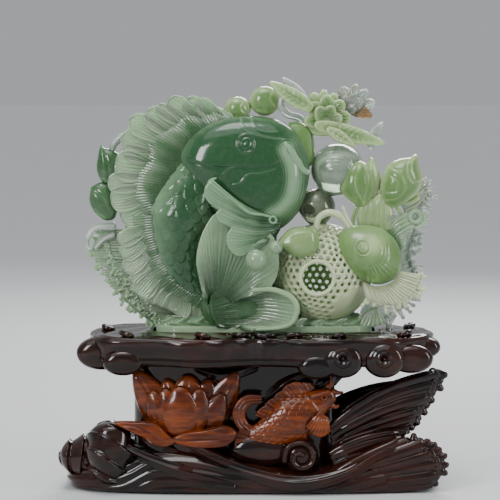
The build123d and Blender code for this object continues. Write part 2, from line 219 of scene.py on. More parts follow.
# ------------------------------------------------------------------ finishes
@dataclass(frozen=True)
class Jade:
    """Polished serpentine: cloudy, translucent, deep where it is thick and pale where it is thin, with some
    highlights and shade painted into its depth.
    """

    slot: str
    deep: Colour
    pale: Colour
    glow: float = 0.55
    gloss: float = 0.12
    threads: float = 0.25
    clear: float = 0.0

    def paint(self) -> bpy.types.Material:
        """Make the stone's material."""
        graph = Graph(self.slot)
        # The depth attribute sets pale to deep: the thickness tone, plus painted highlights and painted shade
        # on the gill band and on fin and petal ridges.
        depth = graph.node("Attribute", {"attribute_name": "depth"}, output="Fac")
        cloud = graph.noise(34, 5, 0.6)
        mask = (depth + (cloud - 0.5) * 0.55).between(0.05, 0.95)
        body = graph.mix(mask, self.pale, self.deep)
        thread = 1.0 - abs(graph.noise(95, 4, 1.4) - 0.5).between(0.0, 0.045)
        milk = tuple(min(1.0, 0.55 + 0.5 * part) for part in self.pale)
        stone = graph.mix(thread * (self.threads * 0.35), body, milk)
        fleck = graph.noise(420, 2).between(0.68, 0.8)
        stone = graph.mix(fleck * 0.12, stone, milk)
        rough = graph.noise(160, 3) * 0.1 + self.gloss
        skin = graph.bump(graph.noise(260, 3), 0.05)
        return graph.close(
            Base_Color=stone,
            Roughness=rough,
            Normal=skin,
            IOR=1.52,
            Specular_IOR_Level=0.36,
            Transmission_Weight=self.clear,
            Subsurface_Weight=self.glow,
            Subsurface_Radius=(0.7, 1.0, 0.75),
            Subsurface_Scale=0.006,
            Coat_Weight=0.25,
            Coat_Roughness=0.06,
        )


@dataclass(frozen=True)
class Crystal:
    """The nearly clear parts of the stone, with milky flecks inside."""

    slot: str
    tint: Colour
    milk: Colour
    clear: float = 0.75
    stain: Colour = (0.45, 0.22, 0.06)
    stained: float = 0.0

    def paint(self) -> bpy.types.Material:
        """Make the clear stone's material."""
        graph = Graph(self.slot)
        cloud = graph.noise(55, 5, 1.0)
        body = graph.mix(cloud.between(0.35, 0.7), self.tint, self.milk)
        body = graph.mix(graph.noise(38, 2).between(0.48, 0.62) * self.stained, body, self.stain)
        rough = graph.noise(140, 3) * 0.12 + 0.04
        skin = graph.bump(graph.noise(180, 3), 0.12)
        return graph.close(
            Base_Color=body,
            Roughness=rough,
            Normal=skin,
            IOR=1.5,
            Transmission_Weight=self.clear,
            Subsurface_Weight=0.2,
            Subsurface_Radius=(0.8, 1.0, 0.9),
            Subsurface_Scale=0.005,
            Coat_Weight=0.4,
            Coat_Roughness=0.04,
        )


@dataclass(frozen=True)
class Lacquer:
    """Stained hardwood under a thick gloss lacquer."""

    slot: str
    dark: Colour
    warm: Colour
    warmth: float = 0.5
    gloss: float = 0.16

    def paint(self) -> bpy.types.Material:
        """Make the lacquered wood's material."""
        graph = Graph(self.slot)
        grain = graph.noise(90, 5, 0.5, (0.35, 3.0, 3.0))
        pores = graph.noise(700, 2, 0.0, (0.12, 1.0, 1.0))
        patch = graph.noise(16, 3)
        share = (grain * 0.6 + patch * 0.7).between(0.5, 0.85) * self.warmth
        wood = graph.mix(share, self.dark, self.warm)
        wood = graph.mix(pores.between(0.6, 0.75) * 0.5, wood, self.dark)
        rough = graph.noise(120, 3) * 0.12 + self.gloss
        skin = graph.bump(grain * 0.6 + pores * 0.4, 0.08)
        return graph.close(
            Base_Color=wood, Roughness=rough, Normal=skin, IOR=1.45, Specular_IOR_Level=0.25,
            Coat_Weight=0.4, Coat_Roughness=0.03,
        )


@dataclass(frozen=True)
class Plain:
    """Hidden fittings: bare dowel, screw steel and felt."""

    slot: str
    dark: Colour
    light: Colour
    scale: float
    metal: float = 0.0
    rough: float = 0.6

    def paint(self) -> bpy.types.Material:
        """Make the fitting's material."""
        graph = Graph(self.slot)
        fibre = graph.noise(self.scale, 4, 0.4)
        colour = graph.mix(fibre, self.dark, self.light)
        rough = fibre * 0.2 + self.rough
        return graph.close(
            Base_Color=colour, Roughness=rough, Metallic=self.metal, Normal=graph.bump(fibre, 0.15)
        )


DEEP = Jade("jade_deep_green", (0.017, 0.070, 0.024), (0.22, 0.36, 0.21), glow=0.3, gloss=0.09, threads=0.04)
PALE = Jade("jade_celadon", (0.034, 0.115, 0.034), (0.35, 0.51, 0.31), threads=0.08, clear=0.3)
LEAF = Jade("jade_leaf_green", (0.12, 0.245, 0.065), (0.43, 0.57, 0.28), threads=0.08, clear=0.18)
MILK = Jade("jade_milky", (0.21, 0.27, 0.12), (0.52, 0.60, 0.37), threads=0.2, clear=0.12)
CLEAR = Crystal("jade_clear", (0.34, 0.43, 0.36), (0.66, 0.72, 0.66), clear=0.5)
STAINED = Crystal("jade_clear", (0.36, 0.44, 0.37), (0.70, 0.75, 0.70), clear=0.5, stained=0.15)
RUST = Crystal("jade_clear", (0.30, 0.17, 0.07), (0.52, 0.40, 0.25), clear=0.45)
GLASSY = Crystal("jade_clear", (0.16, 0.25, 0.15), (0.42, 0.51, 0.40), clear=0.55)
SMOKY = Crystal("jade_clear", (0.10, 0.13, 0.08), (0.28, 0.32, 0.22), clear=0.4)
EBONY = Lacquer("ebony_lacquer", (0.003, 0.0014, 0.0012), (0.036, 0.0085, 0.004), warmth=0.75, gloss=0.09)
AMBER = Lacquer("amber_lacquer", (0.05, 0.008, 0.0015), (0.22, 0.044, 0.005), warmth=1.0)
BARE = Plain("bare_dowel_wood", (0.35, 0.22, 0.11), (0.62, 0.45, 0.28), 300)
STEEL = Plain("screw_steel", (0.3, 0.3, 0.3), (0.6, 0.6, 0.6), 900, metal=1.0, rough=0.25)
FELT = Plain("felt", (0.01, 0.01, 0.01), (0.05, 0.05, 0.05), 2500, rough=0.75)
Finish = Jade | Crystal | Lacquer | Plain


# ------------------------------------------------------------------ places and lines
@dataclass(frozen=True)
class Seat:
    """The box that one CAD node fills, in millimetres."""

    low: np.ndarray
    size: np.ndarray

    @classmethod
    def of(cls, node: str) -> "Seat":
        """Read a node's box from the frame."""
        low, high = (np.array(corner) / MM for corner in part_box(node))
        return cls(low, high - low)

    def at(self, across: float, deep: float, up: float) -> np.ndarray:
        """The point at these shares of the box, from its left, front and bottom."""
        return self.low + self.size * (across, deep, up)

    def line(self, shares: Sequence[Pair]) -> np.ndarray:
        """Points of the front plane, as X and Z, from their shares of the box."""
        return self.low[[0, 2]] + np.array(shares) * self.size[[0, 2]]

    def curve(self, shares: Sequence[Pair], count: int, closed: bool = False) -> np.ndarray:
        """A smooth line of the front plane through these shares of the box."""
        return smooth(self.line(shares), count, closed)

    def route(self, shares: Iterable[Sequence[float]]) -> np.ndarray:
        """Points in space, as X, Y and Z, from their shares of the box."""
        return np.array([self.at(*spot) for spot in shares])


def smooth(points: np.ndarray, count: int, closed: bool = False) -> np.ndarray:
    """Run a Catmull-Rom curve through points.

    Args:
        points: The points, one a row.
        count: How many samples to return.
        closed: Whether the curve returns to its start.

    Returns:
        The samples, evenly spaced along the curve.
    """
    points = np.asarray(points, float)
    if closed:
        padded = np.vstack([points[-1:], points, points[:2]])
    else:
        padded = np.vstack([2 * points[:1] - points[1:2], points, 2 * points[-1:] - points[-2:-1]])
    spans = len(padded) - 3
    where = np.linspace(0, spans, 24 * spans + 1)
    index = np.minimum(where.astype(int), spans - 1)
    t = (where - index)[:, None]
    a, b, c, d = (padded[index + n] for n in range(4))
    dense = 0.5 * (2 * b + (c - a) * t + (2 * a - 5 * b + 4 * c - d) * t**2 + (3 * b - a - 3 * c + d) * t**3)
    return even(dense, count)


def circle(count: int) -> np.ndarray:
    """Points round the unit circle."""
    turn = np.arange(count) / count * FULL_TURN
    return np.stack([np.cos(turn), np.sin(turn)], axis=1)


def even(dense: np.ndarray, count: int) -> np.ndarray:
    """Resample a dense line at even steps."""
    steps = np.r_[0, np.cumsum(np.linalg.norm(np.diff(dense, axis=0), axis=1))]
    wanted = np.linspace(0, steps[-1], count)
    return np.stack([np.interp(wanted, steps, column) for column in dense.T], axis=1)


def arched(notches: np.ndarray, bulge: float, count: int) -> np.ndarray:
    """A scalloped line: an arc bowed to the left from each notch to the next.

    Args:
        notches: The points between the arcs.
        bulge: The height of each arc, as a share of its chord.
        count: How many samples to return.

    Returns:
        The samples, evenly spaced along the line.
    """
    t = np.linspace(0, 1, 20)[:, None]
    arcs = []
    for start, end in zip(notches, notches[1:]):
        chord = end - start
        left = np.array([-chord[1], chord[0]])
        arcs.append(start + chord * t + left * bulge * 4 * t * (1 - t))
    return even(np.vstack(arcs), count)


def spiral(centre: Pair, start: float, outer: float, inner: float, turns: float,
           count: int = 60) -> np.ndarray:
    """A flat spiral from its outer end to its inner one.

    Args:
        centre: Its middle, as X and Z.
        start: The angle of the outer end, in degrees.
        outer: The radius there.
        inner: The radius at the inner end.
        turns: How many turns, negative for clockwise.
        count: How many samples to return.

    Returns:
        Its points, as X and Z.
    """
    t = np.linspace(0, 1, count)
    angle = math.radians(start) + FULL_TURN * turns * t
    radius = outer + (inner - outer) * t
    return np.stack([centre[0] + radius * np.cos(angle), centre[1] + radius * np.sin(angle)], axis=1)


def distance(spot: np.ndarray, line: np.ndarray) -> np.ndarray:
    """How far each spot is from a broken line, both as X and Z."""
    start, run = line[:-1], np.diff(line, axis=0)
    best = np.full(len(spot), np.inf)
    for origin, step in zip(start, run):
        share = np.clip((spot - origin) @ step / max(step @ step, 1e-9), 0, 1)
        best = np.minimum(best, np.linalg.norm(spot - origin - share[:, None] * step, axis=1))
    return best


def inside(spot: np.ndarray, ring: np.ndarray) -> np.ndarray:
    """Whether each spot lies inside a closed outline."""
    x, z = spot[:, 0], spot[:, 1]
    hit = np.zeros(len(spot), bool)
    for (x0, z0), (x1, z1) in zip(ring, np.roll(ring, -1, axis=0)):
        crosses = (z0 > z) != (z1 > z)
        with np.errstate(divide="ignore", invalid="ignore"):
            hit ^= crosses & (x < (x1 - x0) * (z - z0) / (z1 - z0) + x0)
    return hit


def groove(spot: np.ndarray, line: np.ndarray, width: float) -> np.ndarray:
    """A soft furrow along a line: 1 on it, fading to 0 over its width."""
    return np.exp(-((distance(spot, line) / width) ** 2))


def scales(along: np.ndarray, across: np.ndarray, pitch: float) -> np.ndarray:
    """Overlapping scales whose free edges point along the body.

    Args:
        along: Distance along the body.
        across: Distance round the body.
        pitch: From one row of scales to the next.

    Returns:
        Heights from 0 to 1.
    """
    best = np.zeros(len(along))
    row = np.floor(along / pitch)
    for back in range(3):
        this = row - back
        shift = (this % 2) * 0.5
        column = np.round(across / (pitch * 1.15) - shift)
        side = across - (column + shift) * pitch * 1.15
        ahead = along - this * pitch
        cover = (ahead / (1.55 * pitch)) ** 2 + (side / (0.68 * pitch)) ** 2 < 1
        crown = 1 - 0.35 * (side / (0.68 * pitch)) ** 2
        best = np.maximum(best, np.where(cover, ahead / (1.55 * pitch) * crown, 0))
    return best


# ------------------------------------------------------------------ the bench
def deselect() -> None:
    """Leave nothing selected."""
    if bpy.context.object and bpy.context.object.mode == "EDIT":
        bpy.ops.object.mode_set(mode="OBJECT")
    bpy.ops.object.select_all(action="DESELECT")


def coordinates(piece: bpy.types.Object) -> np.ndarray:
    """Read a piece's vertices, in its own units."""
    flat = np.empty(len(piece.data.vertices) * 3)
    piece.data.vertices.foreach_get("co", flat)
    return flat.reshape(-1, 3)


def carve(piece: bpy.types.Object, millimetres: np.ndarray) -> bpy.types.Object:
    """Move a piece's vertices to these places."""
    piece.data.vertices.foreach_set("co", (millimetres * MM).ravel())
    piece.data.update()
    return piece


def stain(piece: bpy.types.Object, depth: np.ndarray | float) -> bpy.types.Object:
    """Write how deep the stone looks at each vertex, from 0 thin to 1 thick; on the head's gill band and on
    fin and petal ridges this also carries painted highlights and painted shade.
    """
    layer = piece.data.attributes.get("depth") or piece.data.attributes.new("depth", "FLOAT", "POINT")
    layer.data.foreach_set("value", np.broadcast_to(depth, len(piece.data.vertices)).astype(np.float32))
    return piece


def harden(piece: bpy.types.Object, kind: str, **settings: object) -> bpy.types.Object:
    """Add a modifier and apply it.

    Args:
        piece: The piece to change.
        kind: The modifier's type.
        settings: Its properties.

    Returns:
        The same piece.
    """
    deselect()
    piece.select_set(True)
    bpy.context.view_layer.objects.active = piece
    modifier = piece.modifiers.new(kind.title(), kind)
    for key, value in settings.items():
        setattr(modifier, key, value)
    bpy.ops.object.modifier_apply(modifier=modifier.name)
    return piece


def outward(piece: bpy.types.Object) -> bpy.types.Object:
    """Merge doubles and turn a closed piece's faces outwards."""
    deselect()
    piece.select_set(True)
    bpy.context.view_layer.objects.active = piece
    bpy.ops.object.mode_set(mode="EDIT")
    bpy.ops.mesh.select_all(action="SELECT")
    bpy.ops.mesh.remove_doubles(threshold=1e-6)
    bpy.ops.mesh.normals_make_consistent(inside=False)
    bpy.ops.object.mode_set(mode="OBJECT")
    return piece


def weld(name: str, pieces: Sequence[bpy.types.Object]) -> bpy.types.Object:
    """Join pieces into one object.

    Args:
        name: The joined object's name.
        pieces: The objects to join.

    Returns:
        The joined object.
    """
    deselect()
    for piece in pieces:
        piece.select_set(True)
    bpy.context.view_layer.objects.active = pieces[0]
    if len(pieces) > 1:
        bpy.ops.object.join()
    pieces[0].name = name
    return pieces[0]


def egg(name: str, around: int, along: int) -> tuple[bpy.types.Object, np.ndarray, np.ndarray]:
    """Start from a ball whose poles are on Z.

    Args:
        name: The piece's name.
        around: Vertices round it.
        along: Rings from pole to pole.

    Returns:
        The piece, each vertex's angle round it, and its share of the way from the lower pole.
    """
    deselect()
    bpy.ops.mesh.primitive_uv_sphere_add(segments=around, ring_count=along, radius=1.0)
    piece = bpy.context.object
    piece.name = name
    x, y, z = coordinates(piece).T
    return piece, np.arctan2(y, x) % FULL_TURN, np.arccos(np.clip(-z, -1, 1)) / math.pi


def sheet(name: str, columns: int, rows: int) -> tuple[bpy.types.Object, np.ndarray, np.ndarray]:
    """Start from a flat grid.

    Args:
        name: The piece's name.
        columns: Faces across.
        rows: Faces up.

    Returns:
        The piece, and each vertex's share across and up.
    """
    deselect()
    bpy.ops.mesh.primitive_grid_add(x_subdivisions=columns, y_subdivisions=rows, size=2)
    piece = bpy.context.object
    piece.name = name
    x, y, _ = coordinates(piece).T
    return piece, (x + 1) / 2, (y + 1) / 2


def follow(line: np.ndarray, share: np.ndarray) -> np.ndarray:
    """Points at these shares of a line's samples."""
    where = np.linspace(0, 1, len(line))
    return np.stack([np.interp(share, where, column) for column in np.asarray(line).T], axis=1)


def rod(
    name: str,
    route: np.ndarray,
    radii: Sequence[float],
    flat: float = 1.0,
    flutes: int = 0,
    cut: float = 0.12,
    twist: float = 0.0,
    around: int = 24,
    along: int = 72,
    cap: float = 0.06,
    skin: Callable[[np.ndarray, np.ndarray, np.ndarray], np.ndarray] | None = None,
) -> bpy.types.Object:
    """A round-ended bar that follows a route lying roughly in a front plane.

    Args:
        name: The piece's name.
        route: Points along its middle, as X, Y and Z.
        radii: Half widths in the front plane, evenly spaced along it.
        flat: Half depth as a share of the half width.
        flutes: How many ridges run along it.
        cut: How deep the furrows between them are, as a share of the radius.
        twist: Turns that the ridges make along the bar.
        around: Vertices round it.
        along: Rings along it.
        cap: The share of the length that each rounded end takes.
        skin: Extra height from the share along, the angle and the distance along.

    Returns:
        The closed piece. Its angle 0 points left of its heading and a quarter turn to the back.
    """
    piece, angle, share = egg(name, around, along)
    line = smooth(route, 400)
    here = follow(line, share)
    step = np.gradient(line, axis=0)
    heading = follow(step / np.linalg.norm(step, axis=1, keepdims=True), share)
    heading /= np.linalg.norm(heading, axis=1, keepdims=True)
    left = np.cross(heading, (0.0, 1.0, 0.0)) * -1
    left /= np.linalg.norm(left, axis=1, keepdims=True)
    back = np.cross(heading, left) * -1
    back *= np.sign(back[:, 1:2] + 1e-9)
    spots = np.linspace(0, 1, len(radii))
    radius = follow(smooth(np.stack([spots, np.array(radii, float)], axis=1), 200), share)[:, 1]
    end = np.clip(np.minimum(share, 1 - share) / cap, 0, 1)
    radius = np.maximum(radius, 0.05) * np.sqrt(np.clip(1 - (1 - end) ** 2, 0, 1))
    if flutes:
        radius = radius * (1 - cut * np.abs(np.sin(flutes / 2 * (angle + FULL_TURN * twist * share))))
    length = np.linalg.norm(np.diff(line, axis=0), axis=1).sum()
    if skin:
        radius = radius + skin(share, angle, share * length)
    offset = left * (np.cos(angle) * radius)[:, None] + back * (np.sin(angle) * radius * flat)[:, None]
    return outward(carve(piece, here + offset))


def ring(name: str, centre: np.ndarray, major: float, minor: Pair, around: int = 72) -> bpy.types.Object:
    """A ring seen face on.

    Args:
        name: The piece's name.
        centre: Its middle.
        major: The radius of its middle line.
        minor: Half its width and half its depth.
        around: Vertices round it.

    Returns:
        The closed ring.
    """
    deselect()
    bpy.ops.mesh.primitive_torus_add(
        major_radius=1.0, minor_radius=0.25, major_segments=around, minor_segments=16
    )
    piece = bpy.context.object
    piece.name = name
    x, y, z = coordinates(piece).T
    angle, out = np.arctan2(y, x), np.hypot(x, y) - 1
    reach = major + out / 0.25 * minor[0]
    spots = np.stack([reach * np.cos(angle), z / 0.25 * minor[1], reach * np.sin(angle)], axis=1)
    return outward(carve(piece, spots + centre))


def pillow(
    name: str,
    outline: np.ndarray,
    front: float,
    back: float,
    crown: float = 2.0,
    relief: Callable[[np.ndarray], np.ndarray] | None = None,
    around: int = 96,
    along: int = 40,
    both: bool = True,
) -> bpy.types.Object:
    """A crowned closed form with an outline seen from the front.

    Args:
        name: The piece's name.
        outline: Its outline, as X and Z, round a middle that sees all of it.
        front: Y of its front.
        back: Y of its back.
        crown: 2 for a round section, more for a flatter one.
        relief: Extra height towards the viewer from X and Z.
        around: Vertices round it.
        along: Rings from the front to the back.
        both: Whether the back has the same relief.

    Returns:
        The closed piece, with its share of the way to the rim stored as depth.
    """
    piece, angle, share = egg(name, around, along)
    ring_line = smooth(outline, 400, closed=True)
    centre = (ring_line.min(axis=0) + ring_line.max(axis=0)) / 2
    arm = ring_line - centre
    bearing = np.arctan2(arm[:, 1], arm[:, 0])
    reach = np.interp(angle, *sorted_turn(bearing, np.hypot(*arm.T)), period=FULL_TURN)
    out = 1 - np.abs(2 * share - 1)
    spot = centre + (out * reach)[:, None] * np.stack([np.cos(angle), np.sin(angle)], axis=1)
    dome = np.clip(1 - out**crown, 0, 1) ** (1 / crown)
    lift = relief(spot) * (1 - out**6) if relief else np.zeros(len(spot))
    middle, half = (front + back) / 2, (back - front) / 2
    side = np.where(share < 0.5, -1.0, 1.0)
    lift = np.where((share < 0.5) | both, lift, 0.0)
    depth = middle + side * (half * dome + lift)
    carve(piece, np.stack([spot[:, 0], depth, spot[:, 1]], axis=1))
    stain(piece, dome)
    return outward(piece)


def sorted_turn(bearing: np.ndarray, reach: np.ndarray) -> tuple[np.ndarray, np.ndarray]:
    """Sort an outline's reach by bearing."""
    order = np.argsort(bearing % FULL_TURN)
    return (bearing % FULL_TURN)[order], reach[order]


@dataclass
class Fan:
    """A carved fin: fine rays run from its root line to its scalloped rim."""

    name: str
    root: np.ndarray
    rim: np.ndarray
    front: Pair
    rays: int
    ridge: float = 0.35
    thickness: float = 2.6
    cup: float = 0.0
    cups: int = 1
    sag: Pair = (0.0, 0.0)
    bow: float = 0.0
    depth: Pair = (0.8, 0.1)
    soft: float = 0.0
    samples: int = 4
    rows: int = 44

    def build(self) -> bpy.types.Object:
        """Shape the fin.

        Returns:
            The closed fin, with its depth going from the root's to the rim's, painted paler on the ray crests
            as a highlight and deeper in the furrows as shade.
        """
        columns = self.rays * self.samples
        piece, u, v = sheet(self.name, columns, self.rows)
        root, rim = follow(self.root, u), follow(self.rim, u)
        spot = root + (rim - root) * v[:, None]
        spot += np.outer(np.sin(math.pi * v) * (1 - u), self.sag)
        ray = np.cos(FULL_TURN * self.rays * u) * (0.75 + 0.35 * np.sin(u * 61) + 0.25 * np.sin(u * 23 + 1))
        fade = np.clip(v * 5, 0, 1) * np.clip((1 - v) * 12, 0.25, 1) * (1 - self.soft * v)
        cup = self.cup * (np.abs((u * self.cups) % 1 - 0.5) * 2) ** 2 * v
        y = self.front[0] + (self.front[1] - self.front[0]) * v - self.bow * np.sin(math.pi * v)
        y = y + cup - self.ridge * ray * fade
        carve(piece, np.stack([spot[:, 0], y, spot[:, 1]], axis=1))
        # Painted highlight and shade: the ray crests are painted paler and the furrows between them deeper.
        ray_highlight_and_shade = -0.22 * ray * fade
        stain(piece, self.depth[0] + (self.depth[1] - self.depth[0]) * v**0.8 + ray_highlight_and_shade)
        harden(piece, "SOLIDIFY", thickness=self.thickness * MM, offset=0.0, use_even_offset=False)
        return outward(piece)


def leaf(base: Pair, tip: Pair, width: float, belly: float = 0.8, point: float = 0.8) -> np.ndarray:
    """The outline of a leaf or petal.

    Args:
        base: Its base, as X and Z.
        tip: Its tip.
        width: Its greatest width.
        belly: Below 1, it is widest near the tip.
        point: Below 1, it is blunter.

    Returns:
        The outline's points.
    """
    base, tip = np.array(base, float), np.array(tip, float)
    run = tip - base
    side = np.array([-run[1], run[0]]) / np.linalg.norm(run)
    share = np.array([0.0, 0.1, 0.25, 0.42, 0.6, 0.76, 0.89, 0.97])
    half = width / 2 * np.sin(math.pi * (0.05 + 0.93 * share) ** belly) ** point
    middle = base + np.outer(share, run)
    return np.vstack([middle + side * half[:, None], [tip], (middle - side * half[:, None])[::-1]])


@dataclass
class Plaque:
    """A plump carved form with an outline in the front plane, a raised edge and engraved lines."""

    name: str
    outline: np.ndarray
    front: float
    back: float
    crown: float = 2.2
    lip: float = 0.0
    lines: Sequence[np.ndarray] = ()
    cut: float = 0.8
    rays: int = 0
    hub: Pair = (0.0, 0.0)
    lean: Pair = (0.0, 0.0)
    depth: Pair = (0.65, 0.15)
    around: int = 84
    along: int = 36

    def build(self) -> bpy.types.Object:
        """Shape the form.

        Returns:
            The closed form.
        """
        edge = smooth(self.outline, 120, closed=True)

        def relief(spot: np.ndarray) -> np.ndarray:
            """The raised edge, the lines and the rays."""
            gap = distance(spot, edge)
            height = self.lip * np.exp(-(((gap - 1.0) / 0.8) ** 2))
            height = height - sum(self.cut * groove(spot, line, 0.8) for line in self.lines)
            if self.rays:
                turn = np.arctan2(*(spot - np.array(self.hub)).T[::-1])
                height = height + 0.3 * np.cos(turn * self.rays) * np.clip(gap / 2, 0, 1)
            return height

        piece = pillow(
            self.name, self.outline, self.front, self.back, self.crown, relief, self.around, self.along
        )
        spot = coordinates(piece) / MM
        flat = spot[:, [0, 2]]
        gap = np.clip(distance(flat, edge) / 5, 0, 1)
        pale = sum(0.25 * groove(flat, line, 0.8) for line in self.lines)
        stain(piece, self.depth[1] + (self.depth[0] - self.depth[1]) * gap - pale)
        spot[:, 1] += (flat - edge.mean(axis=0)) @ np.array(self.lean)
        return carve(piece, spot)


@dataclass
class Petal:
    """One leaf-shaped blade that stands on its base and points to its tip."""

    name: str
    base: np.ndarray
    tip: np.ndarray
    width: float
    facing: Sequence[float] = (0.0, -1.0, 0.0)
    cup: float = 0.25
    curl: float = 0.0
    belly: float = 0.8
    ribs: int = 0
    ridge: float = 0.28
    thickness: float = 1.4
    point: float = 1.0
    lip: float = 0.0
    depth: Pair = (0.5, 0.1)
    columns: int = 24
    rows: int = 30

    def build(self) -> bpy.types.Object:
        """Shape the petal.

        Returns:
            The closed petal.
        """
        piece, u, v = sheet(self.name, self.columns, self.rows)
        run = self.tip - self.base
        length = np.linalg.norm(run)
        up = run / length
        side = np.cross(up, np.array(self.facing, float))
        side /= np.linalg.norm(side)
        out = np.cross(side, up)
        across = 2 * u - 1
        profile = np.sin(math.pi * np.clip(v, 0, 1) ** self.belly) ** (0.62 * self.point) + 0.02
        half = self.width / 2 * profile
        rise = -self.cup * self.width * across**2 * profile + self.curl * length * v**2
        rise += self.lip * np.clip(np.abs(across) - 0.75, 0, 1) * 4
        if self.ribs:
            rise += self.ridge * np.cos(FULL_TURN * self.ribs * across / 2) * profile
        spot = self.base + np.outer(v, run) + side * (across * half)[:, None] + out * rise[:, None]
        carve(piece, spot)
        ray = np.cos(FULL_TURN * self.ribs * across / 2) if self.ribs else 0.0
        # Painted highlight and shade: the rib crests are painted paler and the furrows between them deeper.
        stain(piece, self.depth[0] + (self.depth[1] - self.depth[0]) * v - 0.12 * ray - 0.25 * across**8)
        harden(piece, "SOLIDIFY", thickness=self.thickness * MM, offset=0.0)
        harden(piece, "SUBSURF", levels=1, render_levels=1)
        return outward(piece)


def lace(name: str, edge: np.ndarray, y: float, reach: float, seed: int,
         knob: float = 1.3) -> bpy.types.Object:
    """Carved foam: a ragged fringe of short fingers with round tips along an edge.

    Args:
        name: The piece's name.
        edge: The edge that the fingers leave, as X and Z, with the outside on its left.
        y: The fringe's place in depth.
        reach: How far the longest fingers stand out.
        seed: Picks the fingers' lengths.
        knob: The fingers' radius.

    Returns:
        The fringe as one closed skin.
    """
    dice = np.random.default_rng(seed)
    length = np.linalg.norm(np.diff(edge, axis=0), axis=1).sum()
    count = int(length / (knob * 1.75))
    line = even(edge, count)
    step = np.gradient(line, axis=0)
    step /= np.linalg.norm(step, axis=1, keepdims=True)
    left = np.stack([-step[:, 1], step[:, 0]], axis=1)
    beads = []
    for index in range(count):
        stretch = reach * dice.uniform(0.25, 1.0)
        lean = dice.uniform(-0.6, 0.6)
        direction = left[index] + step[index] * lean
        steps = max(2, int(stretch / (knob * 0.8)))
        for part in range(steps):
            share = part / (steps - 1)
            x, z = line[index] + direction * (stretch * share - knob)
            size = knob * (0.8 + 0.35 * (share > 0.9) + dice.uniform(-0.1, 0.1))
            beads.append((x, y + dice.uniform(-0.6, 0.6), z, size))
    return skin_of(name, beads, voxel=0.55)


def skin_of(name: str, beads: Sequence[Sequence[float]], voxel: float) -> bpy.types.Object:
    """Grow one smooth skin round a cluster of beads.

    Args:
        name: The piece's name.
        beads: X, Y, Z and radius of each bead.
        voxel: The size of the skin's cells.

    Returns:
        The closed skin.
    """
    deselect()
    bpy.ops.mesh.primitive_ico_sphere_add(subdivisions=2, radius=1.0)
    blank = bpy.context.object
    ball = coordinates(blank)
    faces = np.array([face.vertices[:] for face in blank.data.polygons])
    mesh = bpy.data.meshes.new(name)
    spots = np.concatenate([ball * bead[3] + np.array(bead[:3]) for bead in beads]) * MM
    cells = np.concatenate([faces + len(ball) * number for number in range(len(beads))])
    mesh.from_pydata(spots.tolist(), [], cells.tolist())
    blank.data = mesh
    blank.name = name
    harden(blank, "REMESH", mode="VOXEL", voxel_size=voxel * MM)
    harden(blank, "SMOOTH", factor=0.5, iterations=3)
    return blank


class Workshop:
    """Hands each finished piece to its body and keeps one material for each finish."""

    def __init__(self) -> None:
        """Start with no materials painted."""
        self.painted: dict[Finish, bpy.types.Material] = {}
        self.count = 0

    def paint(self, piece: bpy.types.Object, finish: Finish) -> None:
        """Give a piece its finish."""
        if finish not in self.painted:
            self.painted[finish] = finish.paint()
        piece.data.materials.clear()
        piece.data.materials.append(self.painted[finish])

    def deliver(self, piece: bpy.types.Object, finish: Finish, *nodes: str) -> None:
        """Smooth, paint and mount a finished piece on the stand or on the stone.

        Args:
            piece: The piece, already in its place.
            finish: Its finish, which also says whether it is wood or stone.
            nodes: The CAD nodes that it stands for.
        """
        deselect()
        piece.select_set(True)
        bpy.context.view_layer.objects.active = piece
        bpy.ops.object.transform_apply(location=True, rotation=True, scale=True)
        bpy.ops.object.shade_smooth()
        spots = coordinates(piece)
        spots[:, 2] = np.maximum(spots[:, 2], 0.3 * MM)
        carve(piece, spots / MM)
        if not piece.data.attributes.get("depth"):
            stain(piece, 0.5)
        self.paint(piece, finish)
        body = Body.STAND if isinstance(finish, Lacquer) else Body.JADE
        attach(piece, body.value)
        if nodes:
            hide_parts(*nodes)
        self.count += 1
        log.info("%s: %d faces on %s", piece.name, len(piece.data.polygons), body.value)

    def join(
        self, node: str, pieces: Sequence[bpy.types.Object], finish: Finish, depth: float | None = None
    ) -> None:
        """Weld the carved pieces that stand for one CAD node and deliver them.

        Args:
            node: The CAD node.
            pieces: The pieces.
            finish: Their finish.
            depth: One stone depth for all of them, where they have none of their own.
        """
        piece = weld(node + "_carved", pieces)
        if depth is not None:
            stain(piece, depth)
        self.deliver(piece, finish, node)

    def keep(self, node: str, finish: Finish) -> None:
        """Paint a CAD node that stays as it is."""
        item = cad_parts[node]
        for index in range(max(1, len(item.material_slots))):
            if finish not in self.painted:
                self.painted[finish] = finish.paint()
            if item.material_slots:
                item.material_slots[index].material = self.painted[finish]
            else:
                item.data.materials.append(self.painted[finish])


